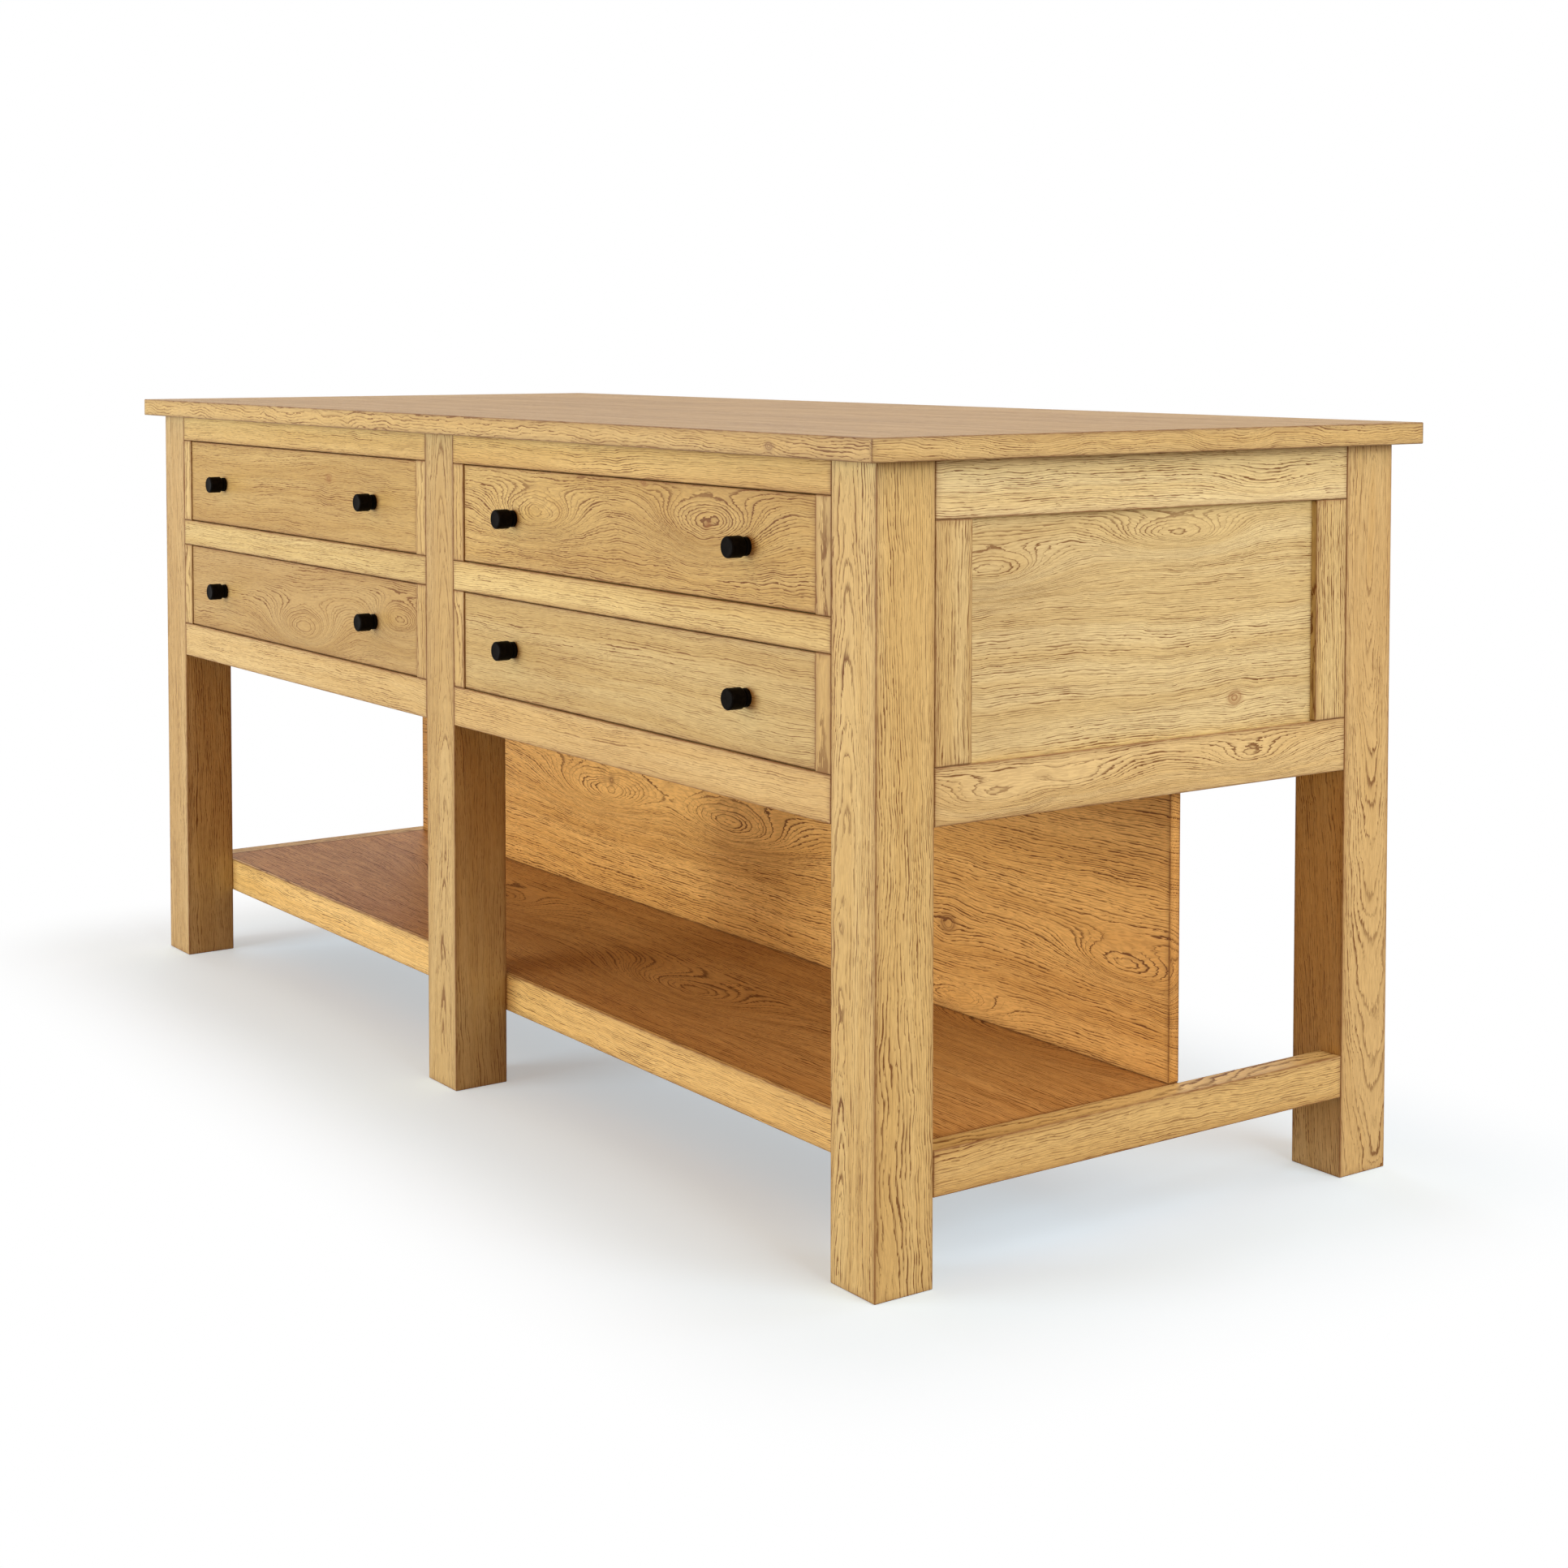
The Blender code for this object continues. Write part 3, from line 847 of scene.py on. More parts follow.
    def rows(self, count: Signal, along: Signal) -> Signal:
        """Rows of pores, one for each whole number of a count.

        A row is a dark line at its number with a soft flank after it. Noise along the row, other
        than its neighbours', breaks it into strokes that end in points.

        Args:
            count: the rows' numbers over the board.
            along: distance along the grain.

        Returns:
            How dark the rows are.
        """
        graph = self.graph
        scale = self.scale
        number = count.math("FLOOR", count)
        forward, aside = scale.row_apart
        cells = graph.join(along * scale.row_breaks + number * forward, number * aside, 0.0)
        least, span = scale.row_noise
        noise = graph.signal(graph.noise(cells, 1.0, flat=True)) * span + least
        past = count - number
        flank = graph.step(noise - past * scale.flank_taper, *scale.flank_range)
        line = graph.step(noise - past * scale.line_taper, *scale.line_range)
        return flank * scale.flank + line * scale.line

    def fibres(self, along: Signal, across: Signal, through: Signal) -> Signal:
        """The fine grain between the rows.

        Args:
            along: distance along the grain.
            across: distance across the board.
            through: distance through it.

        Returns:
            Noise in cells that follow the fibres.
        """
        graph = self.graph
        length, width = self.scale.fibre
        cells = graph.join(along * length, across * width, through * width)
        return graph.signal(graph.noise(graph.vector_math("ADD", cells, self.offset), 1.0))

    def wood(self, band: Signal, fine: Signal, pores: Signal) -> bpy.types.NodeSocket:
        """The colour of the rings, their clouds, the fine grain and the pores.

        Args:
            band: noise of the paler and darker rings.
            fine: how dark the fine grain is.
            pores: how dark the rows of pores are.

        Returns:
            The colour.
        """
        graph = self.graph
        scale = self.scale
        strength = self.board.strength
        pore = self.hue("pore")
        cloud = graph.step(graph.split(self.shaken(scale.wander, 2.0))[1], *scale.cloud_range)
        patch = graph.step(graph.split(self.shaken(scale.patch, 1.0))[2], *scale.patch_range)
        least, more = scale.patch_share
        colour = graph.blend(graph.step(band, *scale.band_range), self.hue("pale"), self.hue("honey"))
        colour = graph.blend(cloud * scale.cloud_depth, colour, self.hue("brown"))
        colour = graph.blend(fine * (scale.fibre_depth * strength), colour, pore)
        return graph.blend(pores * (least + patch * more) * strength, colour, pore)

    def knotted(self, colour: bpy.types.NodeSocket, far: Signal) -> bpy.types.NodeSocket:
        """Lays a knot's heart and circles over a colour.

        Args:
            colour: the wood's colour.
            far: squared distance from the knot.

        Returns:
            The colour with the knot.
        """
        graph = self.graph
        scale = self.scale
        heart = 1 - graph.step(far, *scale.knot_range)
        circles = graph.signal(graph.noise(graph.join(far.root() * scale.knot_circles, 0.0, 0.0), 2.0))
        least, more = scale.knot_depth
        depth = least + graph.step(circles, *scale.circle_range) * more
        return graph.blend(heart * depth, colour, self.tone.knot)

    def worn_and_shaded(self, colour: bpy.types.NodeSocket) -> bpy.types.NodeSocket:
        """Browns a colour along the board's arrises, partly as wear and partly as painted shade in joints
        and gaps.

        Args:
            colour: the wood's colour.

        Returns:
            The colour with its worn edges and painted shade.
        """
        graph = self.graph
        scale = self.scale
        # Painted shade and wear: a dark line along each arris and a softer halo beside it darken joints and
        # gaps where shade falls, besides the worn edges.
        wear_and_shade_mottle = graph.mottle(self.place, scale.wear_and_shade_mottle, 3.0)
        near = self.edge_distance() + (wear_and_shade_mottle - 0.5) * scale.wear_and_shade_reach
        line = 1 - graph.step(near, *scale.arris_range)
        halo = 1 - graph.step(near, *scale.shade_halo_range)
        return graph.blend(line * scale.arris_depth + halo * scale.shade_halo_depth, colour, self.tone.edge)

    def material(self) -> bpy.types.Material:
        """Builds the material.

        Returns:
            The finished material.
        """
        graph = self.graph
        scale = self.scale
        bent = self.bent()
        along, across, through = self.turned(bent)
        knots = [
            self.nearness(bent, knot.at, knot.radius * knot.stretch, knot.radius)
            for knot in self.figure.knots
        ]
        ring, across = self.rings(bent, along, self.flowed(across, knots), through)

        forward, outward = scale.band
        cells = graph.join(along * forward + self.offset[0], ring * outward + self.offset[1], 0.0)
        band = graph.signal(graph.noise(cells, 2.0, flat=True))
        fibres = self.fibres(along, across, through)
        count = ring * self.board.rows + band * scale.row_drift + fibres * scale.row_waver
        pores = self.rows(count, along)
        fine = graph.step(fibres, *scale.fibre_range)

        colour = self.wood(band, fine, pores)
        for far in knots:
            colour = self.knotted(colour, far)
        inputs = {
            "Strength": scale.relief_strength,
            "Distance": scale.relief,
            "Height": 0 - pores - fine * scale.fibre_relief,
        }
        bump = graph.node("ShaderNodeBump", inputs=inputs)
        inputs = {
            "Base Color": self.worn_and_shaded(colour),
            "Roughness": self.tone.roughness + pores * scale.pore_roughness,
            "Specular IOR Level": self.tone.sheen,
            "Normal": bump.outputs["Normal"],
        }
        shader = graph.node("ShaderNodeBsdfPrincipled", inputs=inputs)
        graph.node("ShaderNodeOutputMaterial", inputs={"Surface": shader.outputs[0]})
        return self.fabric


@dataclass(frozen=True)
class BlackMetal:
    """Satin black metal.

    Attributes:
        colour: in linear light.
        roughness: its mean.
        specular: strength of its sheen.
        mottle: cells in a metre of the sprayed coat's grain.
        relief: depth of that grain, in metres.
        relief_strength: how much of it shows.
        wear: cells in a metre of its dull patches.
        wear_range: where a patch starts and where it is full.
        wear_lift: how much paler a dull patch is.
        wear_roughness: how far its roughness changes.
    """

    colour: Colour = (0.0036, 0.0031, 0.0026)
    roughness: float = 0.38
    specular: float = 0.02
    mottle: float = 2500.0
    relief: float = 0.0001
    relief_strength: float = 0.15
    wear: float = 180.0
    wear_range: Pair = (0.4, 0.7)
    wear_lift: float = 1.9
    wear_roughness: float = 0.16

    def material(self) -> bpy.types.Material:
        """Builds the material, with the faint mottle of a sprayed coat.

        Returns:
            The finished material.
        """
        made = bpy.data.materials.new("satin black")
        made.use_nodes = True
        graph = Graph(made.node_tree)
        place = graph.node("ShaderNodeTexCoord").outputs["Object"]
        fine = graph.mottle(place, self.mottle, 2.0)
        worn = graph.mottle(place, self.wear, 2.0)
        inputs = {"Strength": self.relief_strength, "Distance": self.relief, "Height": fine}
        bump = graph.node("ShaderNodeBump", inputs=inputs)
        dull = tuple(channel * self.wear_lift for channel in self.colour)
        inputs = {
            "Base Color": graph.blend(graph.step(worn, *self.wear_range), self.colour, dull),
            "Roughness": self.roughness + (worn - 0.5) * self.wear_roughness,
            "Specular IOR Level": self.specular,
            "Normal": bump.outputs["Normal"],
        }
        shader = graph.node("ShaderNodeBsdfPrincipled", inputs=inputs)
        graph.node("ShaderNodeOutputMaterial", inputs={"Surface": shader.outputs[0]})
        return made


def new_mesh_object(name: str, points: np.ndarray, faces: list[np.ndarray]) -> bpy.types.Object:
    """An object at the origin made of points and faces.

    Args:
        name: the object's name.
        points: one row of three numbers for each point.
        faces: arrays of point numbers, one row for each face.

    Returns:
        The object, linked to the scene.
    """
    mesh = bpy.data.meshes.new(name)
    mesh.from_pydata(points.tolist(), [], [face for rows in faces for face in rows.tolist()])
    mesh.update()
    made = bpy.data.objects.new(name, mesh)
    bpy.context.scene.collection.objects.link(made)
    return made


@dataclass(frozen=True)
class TurnedKnob:
    """A small turned knob: a drum with a rounded face, a narrow neck and a foot, on a stud.

    Attributes:
        node: the CAD knob that it stands for.
        body: the drawer that carries it.
        radius: of the drum.
        face_round: rounding of the drum's front edge.
        back_round: rounding of its rear edge.
        neck_radius: of the neck.
        neck_length: of the neck.
        neck_ease: how far the neck's straight part keeps from the drum and the foot.
        foot_radius: of the foot.
        foot_length: of the foot.
        foot_round: rounding of the foot's front edge.
        stud_length: of the stud, behind the drawer's face.
        stud_radius: of the stud.
        dish: how far the face is hollowed.
        arc_steps: points in each rounding.
        turns: points round the knob.
        sharp_angle: the angle, in degrees, from which an edge isn't smoothed.
    """

    node: str
    body: str
    radius: float = 0.0125
    face_round: float = 0.0022
    back_round: float = 0.0016
    neck_radius: float = 0.0092
    neck_length: float = 0.0026
    neck_ease: float = 0.0003
    foot_radius: float = 0.0108
    foot_length: float = 0.0050
    foot_round: float = 0.0016
    stud_length: float = 0.012
    stud_radius: float = 0.003
    dish: float = 0.0004
    arc_steps: int = 10
    turns: int = 72
    sharp_angle: float = 40.0

    def arc(self, centre: Pair, radius: float, start: float, end: float) -> np.ndarray:
        """Points of a circle's arc, as radius and height, by angle in degrees."""
        angle = np.radians(np.linspace(start, end, self.arc_steps))
        return np.stack([centre[0] + radius * np.cos(angle), centre[1] + radius * np.sin(angle)], axis=1)

    def profile(self, projection: float) -> np.ndarray:
        """Half section from the middle of the face, over the drum, to the end of the stud.

        Args:
            projection: how far the face stands out of the drawer front.

        Returns:
            Rows of radius and height, where height 0 is the drawer front.
        """
        drum_back = self.foot_length + self.neck_length
        face_inner = self.radius - self.face_round
        back_inner = self.radius - self.back_round
        foot_inner = self.foot_radius - self.foot_round
        share = np.linspace(0.0, 1.0, self.arc_steps)[:-1]
        face = np.stack([face_inner * share, projection - self.dish * (1 - share**2)], axis=1)
        rim = self.arc((face_inner, projection - self.face_round), self.face_round, 90, 0)
        back = self.arc((back_inner, drum_back + self.back_round), self.back_round, 0, -90)
        neck = [
            [self.neck_radius, drum_back - self.neck_ease],
            [self.neck_radius, self.foot_length + self.neck_ease],
        ]
        foot = self.arc((foot_inner, self.foot_length - self.foot_round), self.foot_round, 90, 0)
        stud = [
            [self.foot_radius, 0.0],
            [self.stud_radius, 0.0],
            [self.stud_radius, -self.stud_length],
            [0.0, -self.stud_length],
        ]
        return np.concatenate([face, rim, back, neck, foot, stud])

    def build(self, finish: bpy.types.Material) -> str:
        """Turns the profile about the knob's axis.

        A point is the axis plus its radius times the cosine and sine of its turn, at its height out
        of the drawer front. The two ends of the profile are single points.

        Args:
            finish: the knob's material.

        Returns:
            The piece's name.
        """
        low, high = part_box(self.node)
        axis_x = (low.x + high.x) / 2
        axis_z = (low.z + high.z) / 2
        foot_y = high.y - self.stud_length
        section = self.profile(foot_y - low.y)
        ring = section[1:-1]
        turn = np.arange(self.turns) * (math.tau / self.turns)
        x = axis_x + ring[:, :1] * np.cos(turn)
        z = axis_z + ring[:, :1] * np.sin(turn)
        y = np.broadcast_to(foot_y - ring[:, 1:], x.shape)
        ends = [[axis_x, foot_y - section[0, 1], axis_z], [axis_x, foot_y - section[-1, 1], axis_z]]
        points = np.concatenate([np.stack([x, y, z], axis=-1).reshape(-1, 3), ends])

        index = np.arange(len(ring) * self.turns).reshape(len(ring), self.turns)
        after = np.roll(index, -1, axis=1)
        walls = np.stack([index[:-1], index[1:], after[1:], after[:-1]], axis=-1).reshape(-1, 4)
        front = np.full(self.turns, len(points) - 2)
        rear = np.full(self.turns, len(points) - 1)
        front_cap = np.stack([front, index[0], after[0]], axis=-1)
        rear_cap = np.stack([rear, after[-1], index[-1]], axis=-1)
        made = new_mesh_object(f"{self.node}_turned", points, [walls, front_cap, rear_cap])
        made.data.shade_smooth()
        made.data.set_sharp_from_angle(angle=math.radians(self.sharp_angle))
        made.data.materials.append(finish)
        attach(made, self.body)
        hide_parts(self.node)
        return made.name


@dataclass(frozen=True)
class Worktop:
    """The top board, its top face painted darker as shade inside a border of paler oak round its sides,
    and long grain on its ends too.

    Attributes:
        shade_border: width of the border round the sides, outside the painted shade.
    """

    shade_border: float = 0.004

    def dress(self) -> Iterator[str]:
        """Gives the worktop its oak.

        Returns:
            The names of the pieces, each once it is dressed.
        """
        low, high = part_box("worktop")
        front = low.y
        figure = Figure(
            pith_across=0.62,
            pith_depth=-0.55,
            tilt=0.03,
            knots=(
                Knot((-0.508, front, 0.902), 0.006),
                Knot((-0.326, front, 0.908), 0.005),
                Knot((0.806, front, 0.900), 0.007),
            ),
        )
        yield Board(
            "worktop",
            Axis.X,
            SHADED_TOP_OAK,
            figure=figure,
            cross=CrossGrain(Axis.Y, Axis.X, (high.x - low.x) / 2 - self.shade_border),
            # The border keeps the show oak; the top face inside it is painted darker as shade.
            shade_border=ShadeBorder(SHOW_OAK.tinted((0.86, 0.95, 0.94)), self.shade_border),
            rows=480.0,
        ).dress()


@dataclass(frozen=True)
class Legs:
    """The square legs.

    Attributes:
        rows: rows of pores in a metre.
    """

    rows: float = 400.0

    def dress(self) -> Iterator[str]:
        """Gives the legs their oak, each cut from its log in another way and tinted with painted light and
        shade.

        Returns:
            The names of the pieces, each once it is dressed.
        """
        # Painted light and shade: the front right leg is tinted paler than the others, standing in for light
        # that falls more on it.
        legs = {
            "front_left_leg": (Figure(0.12, 0.10, 0.02), (0.79, 0.86, 0.94), 1.0),
            "front_middle_leg": (Figure(0.004, -0.064, 0.04), (0.80, 0.885, 0.935), 0.9),
            "front_right_leg": (Figure(-0.016, -0.064, 0.045), (0.965, 1.105, 1.155), 1.05),
            "rear_left_leg": (Figure(-0.07, 0.09, 0.03), (0.90, 0.97, 1.01), 1.0),
            "rear_right_leg": (Figure(0.064, 0.010, 0.0, lean=0.08), (0.88, 0.96, 1.01), 1.0),
        }
        for node, (figure, tint, strength) in legs.items():
            leg = Board(node, Axis.Z, figure=figure, tint=tint, strength=strength, rows=self.rows)
            yield leg.dress()


@dataclass(frozen=True)
class FrontFrame:
    """The rails, stiles and runner boards of one drawer bay.

    Attributes:
        bay: which bay it is.
        tenon: length of the rails' tenons.
        stub: length of the stiles' tenons.
        light_shares: how bright each bay's rails are painted, darker on the left as painted shade.
        tone_and_light_tints: how the rails' colours differ, in tone and in painted light.
    """

    bay: Side
    tenon: float = 0.028
    stub: float = 0.008
    # Painted light and shade: the left bay's rails are darker than the right's, standing in for light that
    # falls more on the right.
    light_shares: ClassVar[dict[Side, float]] = {Side.LEFT: 0.94, Side.RIGHT: 1.01}
    tone_and_light_tints: ClassVar[dict[str, Colour]] = {
        "top": (0.95, 1.02, 0.95),
        "middle": (0.97, 1.15, 1.22),
        "bottom": (0.97, 1.10, 1.20),
    }

    def dress(self) -> Iterator[str]:
        """Gives the bay's boards their oak.

        Returns:
            The names of the pieces, each once it is dressed.
        """
        bay = f"{self.bay.value}_bay"
        share = self.light_shares[self.bay]
        for place, tint in self.tone_and_light_tints.items():
            dyed = tuple(part * share for part in tint)
            rail = Board(f"{bay}_{place}_rail", Axis.X, trim=self.tenon, tint=dyed)
            yield replace(rail, strength=0.9, rows=430.0).dress()
        for level in Level:
            for side in Side:
                stile = Board(f"{bay}_{level.value}_{side.value}_stile", Axis.Z, trim=self.stub)
                yield replace(stile, tint=(0.88, 0.99, 1.02), rows=300.0).dress()
        for side in Side:
            yield Board(f"{bay}_{side.value}_runner_board", Axis.Y, BOX_OAK).dress()


@dataclass(frozen=True)
class EndFrame:
    """A framed end and the stretcher below it.

    Attributes:
        end: which end it is.
        tenon: length of the rails' tenons.
        stub: length of the stiles' tenons.
        tone_and_light_tints: how the boards' colours differ at each end, the right end painted paler and
            cooler as light falling on it.
    """

    end: Side
    tenon: float = 0.028
    stub: float = 0.008
    tone_and_light_tints: ClassVar[dict[Side, dict[str, Colour]]] = {
        # Painted light: the right end's boards are tinted paler and cooler than the left's, standing in for
        # light that falls on that end.
        Side.RIGHT: {
            "top": (1.07, 1.36, 1.78),
            "bottom": (0.99, 1.16, 1.35),
            "stile": (0.97, 1.16, 1.32),
            "panel": (0.975, 1.22, 1.53),
        },
        Side.LEFT: {
            "top": (0.94, 1.08, 1.18),
            "bottom": (0.92, 1.03, 1.08),
            "stile": (0.91, 1.00, 1.04),
            "panel": (0.93, 1.06, 1.14),
        },
    }

    def face(self, node: str) -> float:
        """Where the outer face of one of the end's boards lies."""
        low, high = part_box(node)
        return high.x if self.end is Side.RIGHT else low.x

    def panel_figure(self) -> Figure:
        """Arches and a knot on the panel's face.

        Returns:
            The panel's figure.
        """
        face = self.face(f"{self.end.value}_end_panel")
        return Figure(
            pith_across=-0.40,
            pith_depth=0.10,
            tilt=0.02,
            eyes=(
                Eye((face, 0.045, 0.790), 0.100, 0.022, 0.045),
                Eye((face, -0.230, 0.765), 0.110, 0.024, 0.048),
            ),
            knots=(Knot((face, 0.138, 0.603), 0.009),),
        )

    def rail_figure(self, place: str) -> Figure:
        """Swirls on a rail's face.

        Args:
            place: top or bottom.

        Returns:
            The rail's figure.
        """
        face = self.face(f"{self.end.value}_end_{place}_rail")
        if place == "top":
            return Figure(0.14, 0.06, 0.015, eyes=(Eye((face, 0.176, 0.855), 0.070, 0.020, 0.016),))
        eyes = (
            Eye((face, -0.234, 0.528), 0.080, 0.022, 0.032),
            Eye((face, -0.100, 0.536), 0.080, 0.020, 0.022),
            Eye((face, 0.157, 0.540), 0.080, 0.020, 0.026),
        )
        return Figure(-0.14, 0.05, 0.02, eyes=eyes)

    def dress(self) -> Iterator[str]:
        """Gives the end's boards their oak.

        Returns:
            The names of the pieces, each once it is dressed.
        """
        end = f"{self.end.value}_end"
        tone_and_light_tints = self.tone_and_light_tints[self.end]
        for place in ("top", "bottom"):
            rail = Board(f"{end}_{place}_rail", Axis.Y, trim=self.tenon, tint=tone_and_light_tints[place])
            yield replace(rail, figure=self.rail_figure(place)).dress()
        for place in ("front", "rear"):
            stile = Board(f"{end}_{place}_stile", Axis.Z, trim=self.stub, tint=tone_and_light_tints["stile"])
            yield replace(stile, strength=1.3, rows=340.0).dress()
        yield Board(f"{end}_panel", Axis.Y, figure=self.panel_figure(), tint=tone_and_light_tints["panel"]).dress()
        stretcher = Board(f"{end}_stretcher", Axis.Y, trim=self.tenon, tint=(0.95, 1.03, 0.99))
        yield replace(stretcher, strength=1.2, rows=380.0).dress()


@dataclass(frozen=True)
class ShelfAndBack:
    """The shelf, its front rail, the panel that stands on it and the rear rail.

    Attributes:
        tenon: length of the rear rail's tenons.
        stub: length of the shelf rail's tenons.
        tongue: length of the shelf's tongues.
    """

    tenon: float = 0.028
    stub: float = 0.008
    tongue: float = 0.010

    def back_figure(self) -> Figure:
        """Swirls and knots on the panel's front face.

        Returns:
            The panel's figure.
        """
        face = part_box("back_panel")[0].y
        return Figure(
            pith_across=-0.60,
            pith_depth=-0.12,
            tilt=0.02,
            eyes=(
                Eye((-0.317, face, 0.322), 0.170, 0.034, 0.080),
                Eye((0.030, face, 0.319), 0.150, 0.034, 0.076),
                Eye((0.540, face, 0.172), 0.110, 0.020, 0.046),
                Eye((0.860, face, 0.280), 0.110, 0.026, 0.056),
            ),
            knots=(Knot((0.527, face, 0.268), 0.013), Knot((-0.300, face, 0.335), 0.008)),
        )

    def shelf_figure(self) -> Figure:
        """Swirls and a knot on the shelf's upper face.

        Returns:
            The shelf's figure.
        """
        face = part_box("shelf")[1].z
        return Figure(
            pith_across=-0.55,
            pith_depth=-0.20,
            tilt=0.03,
            eyes=(
                Eye((0.250, -0.150, face), 0.180, 0.060, 0.100),
                Eye((0.640, 0.060, face), 0.200, 0.050, 0.080),
                Eye((-0.420, -0.080, face), 0.200, 0.060, 0.100),
            ),
            knots=(Knot((0.420, -0.040, face), 0.010),),
        )

    def dress(self) -> Iterator[str]:
        """Gives the boards their oak.

        Returns:
            The names of the pieces, each once it is dressed.
        """
        yield Board("shelf_front_rail", Axis.X, trim=self.stub, tint=(1.17, 1.22, 1.10)).dress()
        # Painted shade: the shelf's tint makes it darker, as the shade under the drawers.
        shelf = Board("shelf", Axis.X, AMBER_SHADE_OAK, trim=self.tongue, tint=(0.75, 0.74, 0.82))
        yield replace(shelf, figure=self.shelf_figure(), strength=1.6, rows=280.0).dress()
        back = Board("back_panel", Axis.X, AMBER_SHADE_OAK, figure=self.back_figure(), tint=(0.97, 1.02, 1.08))
        yield replace(back, strength=1.4, rows=320.0).dress()
        yield Board("rear_top_rail", Axis.X, trim=self.tenon, tint=(0.92, 1.01, 1.03)).dress()


@dataclass(frozen=True)
class Drawer:
    """A drawer: its front, its box, its bottom and two knobs.

    Attributes:
        bay: the bay that it slides in.
        level: the row that it is in.
        knob_finish: the knobs' material.
        side: thickness of the box's sides.
        tone_and_light_tints: how the fronts' colours differ, in tone and in painted light, the left fronts
            darker as painted shade.
        bold_front: the drawer whose front has the boldest grain.
    """

    bay: Side
    level: Level
    knob_finish: bpy.types.Material
    side: float = 0.014
    # Painted light and shade: the left fronts are darker than the right ones, standing in for light that
    # falls more on the right.
    tone_and_light_tints: ClassVar[dict[str, Colour]] = {
        "left_upper_drawer": (0.75, 0.79, 0.70),
        "left_lower_drawer": (0.695, 0.73, 0.705),
        "right_upper_drawer": (0.84, 0.905, 0.82),
        "right_lower_drawer": (0.83, 0.97, 1.04),
    }
    bold_front: ClassVar[str] = "right_upper_drawer"

    @property
    def label(self) -> str:
        """The drawer's name, which is also its body's."""
        return f"{self.bay.value}_{self.level.value}_drawer"

    def front_figure(self) -> Figure:
        """Swirls and knots on the drawer's face.

        Returns:
            The front's figure.
        """
        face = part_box(f"{self.label}_front")[0].y
        figures = {
            "right_upper_drawer": Figure(
                -0.30,
                0.08,
                0.010,
                eyes=(
                    Eye((0.255, face, 0.796), 0.105, 0.030, 0.072),
                    Eye((0.642, face, 0.808), 0.105, 0.034, 0.080),
                ),
                knots=(Knot((0.644, face, 0.798), 0.007), Knot((0.508, face, 0.845), 0.006)),
            ),
            "left_upper_drawer": Figure(-0.25, 0.10, 0.010, knots=(Knot((-0.346, face, 0.810), 0.008),)),
            "left_lower_drawer": Figure(
                -0.28,
                0.10,
                0.010,
                eyes=(
                    Eye((-0.443, face, 0.595), 0.120, 0.036, 0.080),
                    Eye((-0.118, face, 0.620), 0.090, 0.030, 0.064),
                ),
            ),
            "right_lower_drawer": Figure(0.35, 0.10, 0.010),
        }
        return figures[self.label]

    def dress(self) -> Iterator[str]:
        """Gives the drawer's boards their oak and turns its knobs.

        Returns:
            The names of the pieces, each once it is dressed.
        """
        tint = self.tone_and_light_tints[self.label]
        front = Board(f"{self.label}_front", Axis.X, figure=self.front_figure(), tint=tint, rows=430.0)
        if self.label == self.bold_front:
            front = replace(front, strength=1.30, rows=330.0, waver=1.5)
        yield front.dress()
        low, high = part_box(f"{self.label}_box")
        cross = CrossGrain(Axis.X, Axis.X, (high.x - low.x) / 2 - self.side, inside=True)
        yield Board(f"{self.label}_box", Axis.Y, BOX_OAK, cross=cross).dress()
        yield Board(f"{self.label}_bottom", Axis.X, BOX_OAK).dress()
        for side in Side:
            yield TurnedKnob(f"{self.label}_{side.value}_knob", self.label).build(self.knob_finish)


@dataclass(frozen=True)
class SoftBox:
    """An area lamp.

    Attributes:
        name: its name.
        at: where it hangs.
        aim: what it points at.
        size: its width and height.
        power: in watts.
        sheen: whether glossy surfaces mirror it.
    """

    name: str
    at: Point
    aim: Point
    size: Pair
    power: float
    sheen: bool = True

    def hang(self) -> None:
        """Adds the lamp to the scene."""
        lamp = bpy.data.lights.new(self.name, "AREA")
        lamp.shape = "RECTANGLE"
        lamp.size, lamp.size_y = self.size
        lamp.energy = self.power
        made = bpy.data.objects.new(self.name, lamp)
        made.location = self.at
        made.rotation_euler = (Vector(self.aim) - Vector(self.at)).to_track_quat("-Z", "Y").to_euler()
        made.visible_camera = False
        made.visible_glossy = self.sheen
        bpy.context.scene.collection.objects.link(made)


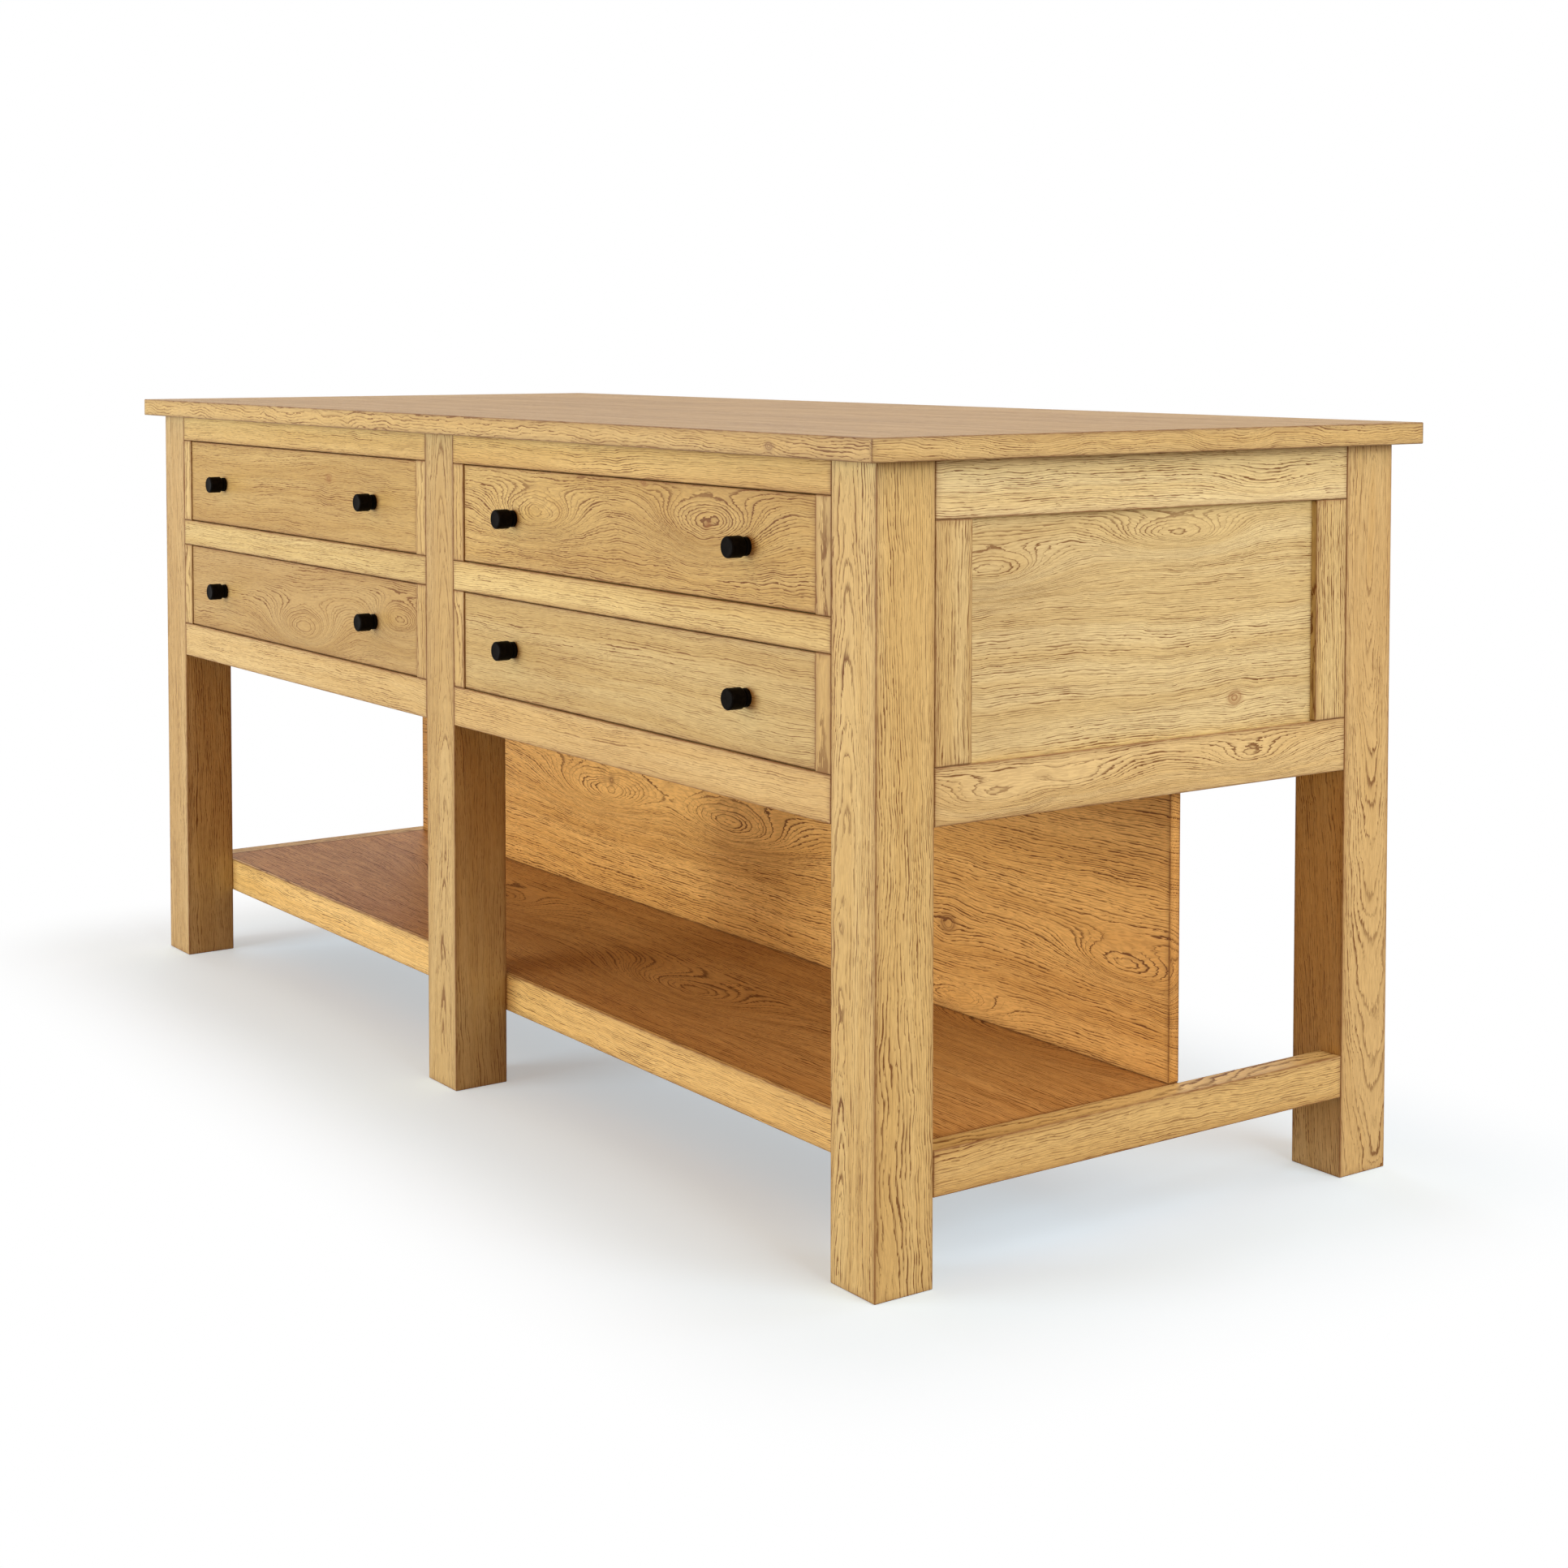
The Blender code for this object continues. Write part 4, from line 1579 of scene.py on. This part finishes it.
@dataclass(frozen=True)
class Studio:
    """The pale floor, the light and the camera.

    Attributes:
        floor_reach: half the floor's width.
        floor_grey: how much of the light the floor gives back where the camera sees it.
        floor_glow: its own light there, which makes it white where nothing shades it.
        floor_bounce: the floor's colour as the object is lit by it.
        fade: distances from the object between which the floor turns plain white.
        ambient: light from all round.
        lamps: the softboxes.
        eye: where the camera stands.
        heading: the way that it looks, in degrees from +X.
        pitch: its tilt, in degrees.
        sensor: width of its sensor, in millimetres.
        lens: its focal length, in millimetres.
        shift: of its lens, as a share of the picture's width.
    """

    floor_reach: float = 30.0
    floor_grey: Colour = (0.55, 0.80, 1.0)
    floor_glow: float = 0.345
    floor_bounce: Colour = (0.30, 0.27, 0.23)
    fade: Pair = (0.03, 0.34)
    ambient: Colour = (0.56, 0.21, 0.060)
    lamps: tuple[SoftBox, ...] = (
        SoftBox("front softbox", (-0.8, -4.2, 0.9), (0.1, 0.0, 0.4), (2.2, 1.5), 114.0),
        SoftBox("front left softbox", (-3.4, -3.0, 2.0), (0.0, 0.0, 0.5), (2.4, 2.4), 5.0),
        SoftBox("right softbox", (4.4, 0.6, 1.8), (0.0, 0.0, 0.5), (3.2, 1.6), 70.0),
        SoftBox("high right softbox", (3.6, 0.6, 3.3), (0.0, 0.0, 0.5), (3.2, 2.4), 37.0),
        SoftBox("high left softbox", (-1.6, 0.6, 3.4), (-0.4, 0.0, 0.5), (2.6, 2.6), 16.0),
        SoftBox("rear fill", (0.8, 4.2, 1.8), (0.0, 0.0, 0.4), (3.6, 1.6), 58.0, sheen=False),
        SoftBox("left fill", (-4.4, 0.4, 1.8), (0.0, 0.0, 0.4), (3.0, 1.6), 50.0, sheen=False),
    )
    eye: Point = (3.0511, -2.0005, 1.0168)
    heading: float = 145.169
    pitch: float = -2.640
    sensor: float = 36.0
    lens: float = 58.393
    shift: Pair = (0.0194, -0.2100)

    def seen(self, graph: Graph) -> Signal:
        """Tells what the camera sees from what lights the object.

        Args:
            graph: the node tree that needs to know.

        Returns:
            1 for the camera and for what mirrors or passes its view, and 0 for light on the object.
        """
        path = graph.node("ShaderNodeLightPath")
        names = ("Is Camera Ray", "Is Glossy Ray", "Is Transmission Ray")
        camera, glossy, passed = (graph.signal(path, name) for name in names)
        return camera.most(glossy).most(passed)

    def floor_material(self) -> bpy.types.Material:
        """Builds the floor's finish: white where it is lit, with the object's soft shadow.

        Returns:
            The finished material.
        """
        made = bpy.data.materials.new("pale floor")
        made.use_nodes = True
        graph = Graph(made.node_tree)
        place = graph.split(graph.node("ShaderNodeTexCoord").outputs["Object"])
        x, y = (part.math("MAXIMUM", part.size() - reach, 0.0) for reach, part in zip(CAD_BOX[1][:2], place))
        fade = graph.step((x * x + y * y).root(), *self.fade)
        grey = graph.node("ShaderNodeBsdfDiffuse", inputs={"Color": self.floor_grey})
        glow = graph.node("ShaderNodeEmission", inputs={"Strength": self.floor_glow})
        white = graph.node("ShaderNodeEmission", inputs={"Strength": 1.0})
        bounce = graph.node("ShaderNodeBsdfDiffuse", inputs={"Color": self.floor_bounce})
        shaded = graph.node("ShaderNodeAddShader", inputs={0: grey.outputs[0], 1: glow.outputs[0]})
        shown = graph.mix_shaders(fade, shaded, white)
        both = graph.mix_shaders(self.seen(graph), bounce, shown)
        graph.node("ShaderNodeOutputMaterial", inputs={"Surface": both.outputs[0]})
        return made

    def lay_floor(self) -> None:
        """Lays a flat square floor under the object."""
        side = np.array([-self.floor_reach, self.floor_reach])
        x, y = np.meshgrid(side, side)
        points = np.stack([x.ravel(), y.ravel(), np.zeros(x.size)], axis=1)
        floor = new_mesh_object("floor", points, [np.array([[0, 1, 3, 2]])])
        floor.data.materials.append(self.floor_material())
        floor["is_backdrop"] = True

    def light(self) -> None:
        """Hangs the softboxes and sets the light from all round, white where the camera sees it."""
        for lamp in self.lamps:
            lamp.hang()
        world = bpy.data.worlds.new("white studio")
        world.use_nodes = True
        graph = Graph(world.node_tree)
        dim = graph.node("ShaderNodeBackground", inputs={"Color": self.ambient, "Strength": 1.0})
        white = graph.node("ShaderNodeBackground", inputs={"Color": (1.0, 1.0, 1.0), "Strength": 1.0})
        both = graph.mix_shaders(self.seen(graph), dim, white)
        graph.node("ShaderNodeOutputWorld", inputs={"Surface": both.outputs[0]})
        bpy.context.scene.world = world

    def place_camera(self) -> None:
        """Sets the camera where the photograph was taken from."""
        lens = bpy.data.cameras.new("camera")
        lens.sensor_width = self.sensor
        lens.lens = self.lens
        lens.shift_x, lens.shift_y = self.shift
        camera = bpy.data.objects.new("camera", lens)
        camera.location = self.eye
        camera.rotation_euler = Euler(
            (math.radians(90 + self.pitch), 0.0, math.radians(self.heading - 90))
        )
        bpy.context.scene.collection.objects.link(camera)
        bpy.context.scene.camera = camera

    def build(self) -> None:
        """Sets up the whole studio."""
        bpy.context.scene.view_settings.view_transform = "Standard"
        self.lay_floor()
        self.light()
        self.place_camera()


Assembly = Worktop | Legs | FrontFrame | EndFrame | ShelfAndBack | Drawer


def write_sizes() -> None:
    """Gathers the box of the solids and that of the dressed island, and keeps neither."""
    boxes = {"cad": CAD_BOX, "visual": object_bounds()}
    {name: [list(corner) for corner in box] for name, box in boxes.items()}


def main() -> None:
    """Builds the studio, dresses each sub-assembly and reports each piece."""
    logging.basicConfig(level=logging.INFO, format="%(message)s")
    Studio().build()
    knob_finish = BlackMetal().material()
    assemblies: list[Assembly] = [Worktop(), Legs()]
    assemblies += [FrontFrame(bay) for bay in Side]
    assemblies += [EndFrame(end) for end in Side]
    assemblies += [ShelfAndBack()]
    assemblies += [Drawer(bay, level, knob_finish) for bay in Side for level in Level]
    for assembly in assemblies:
        for piece in assembly.dress():
            LOG.info("%s: %s", type(assembly).__name__, piece)
    write_sizes()


if __name__ == "__main__":
    main()
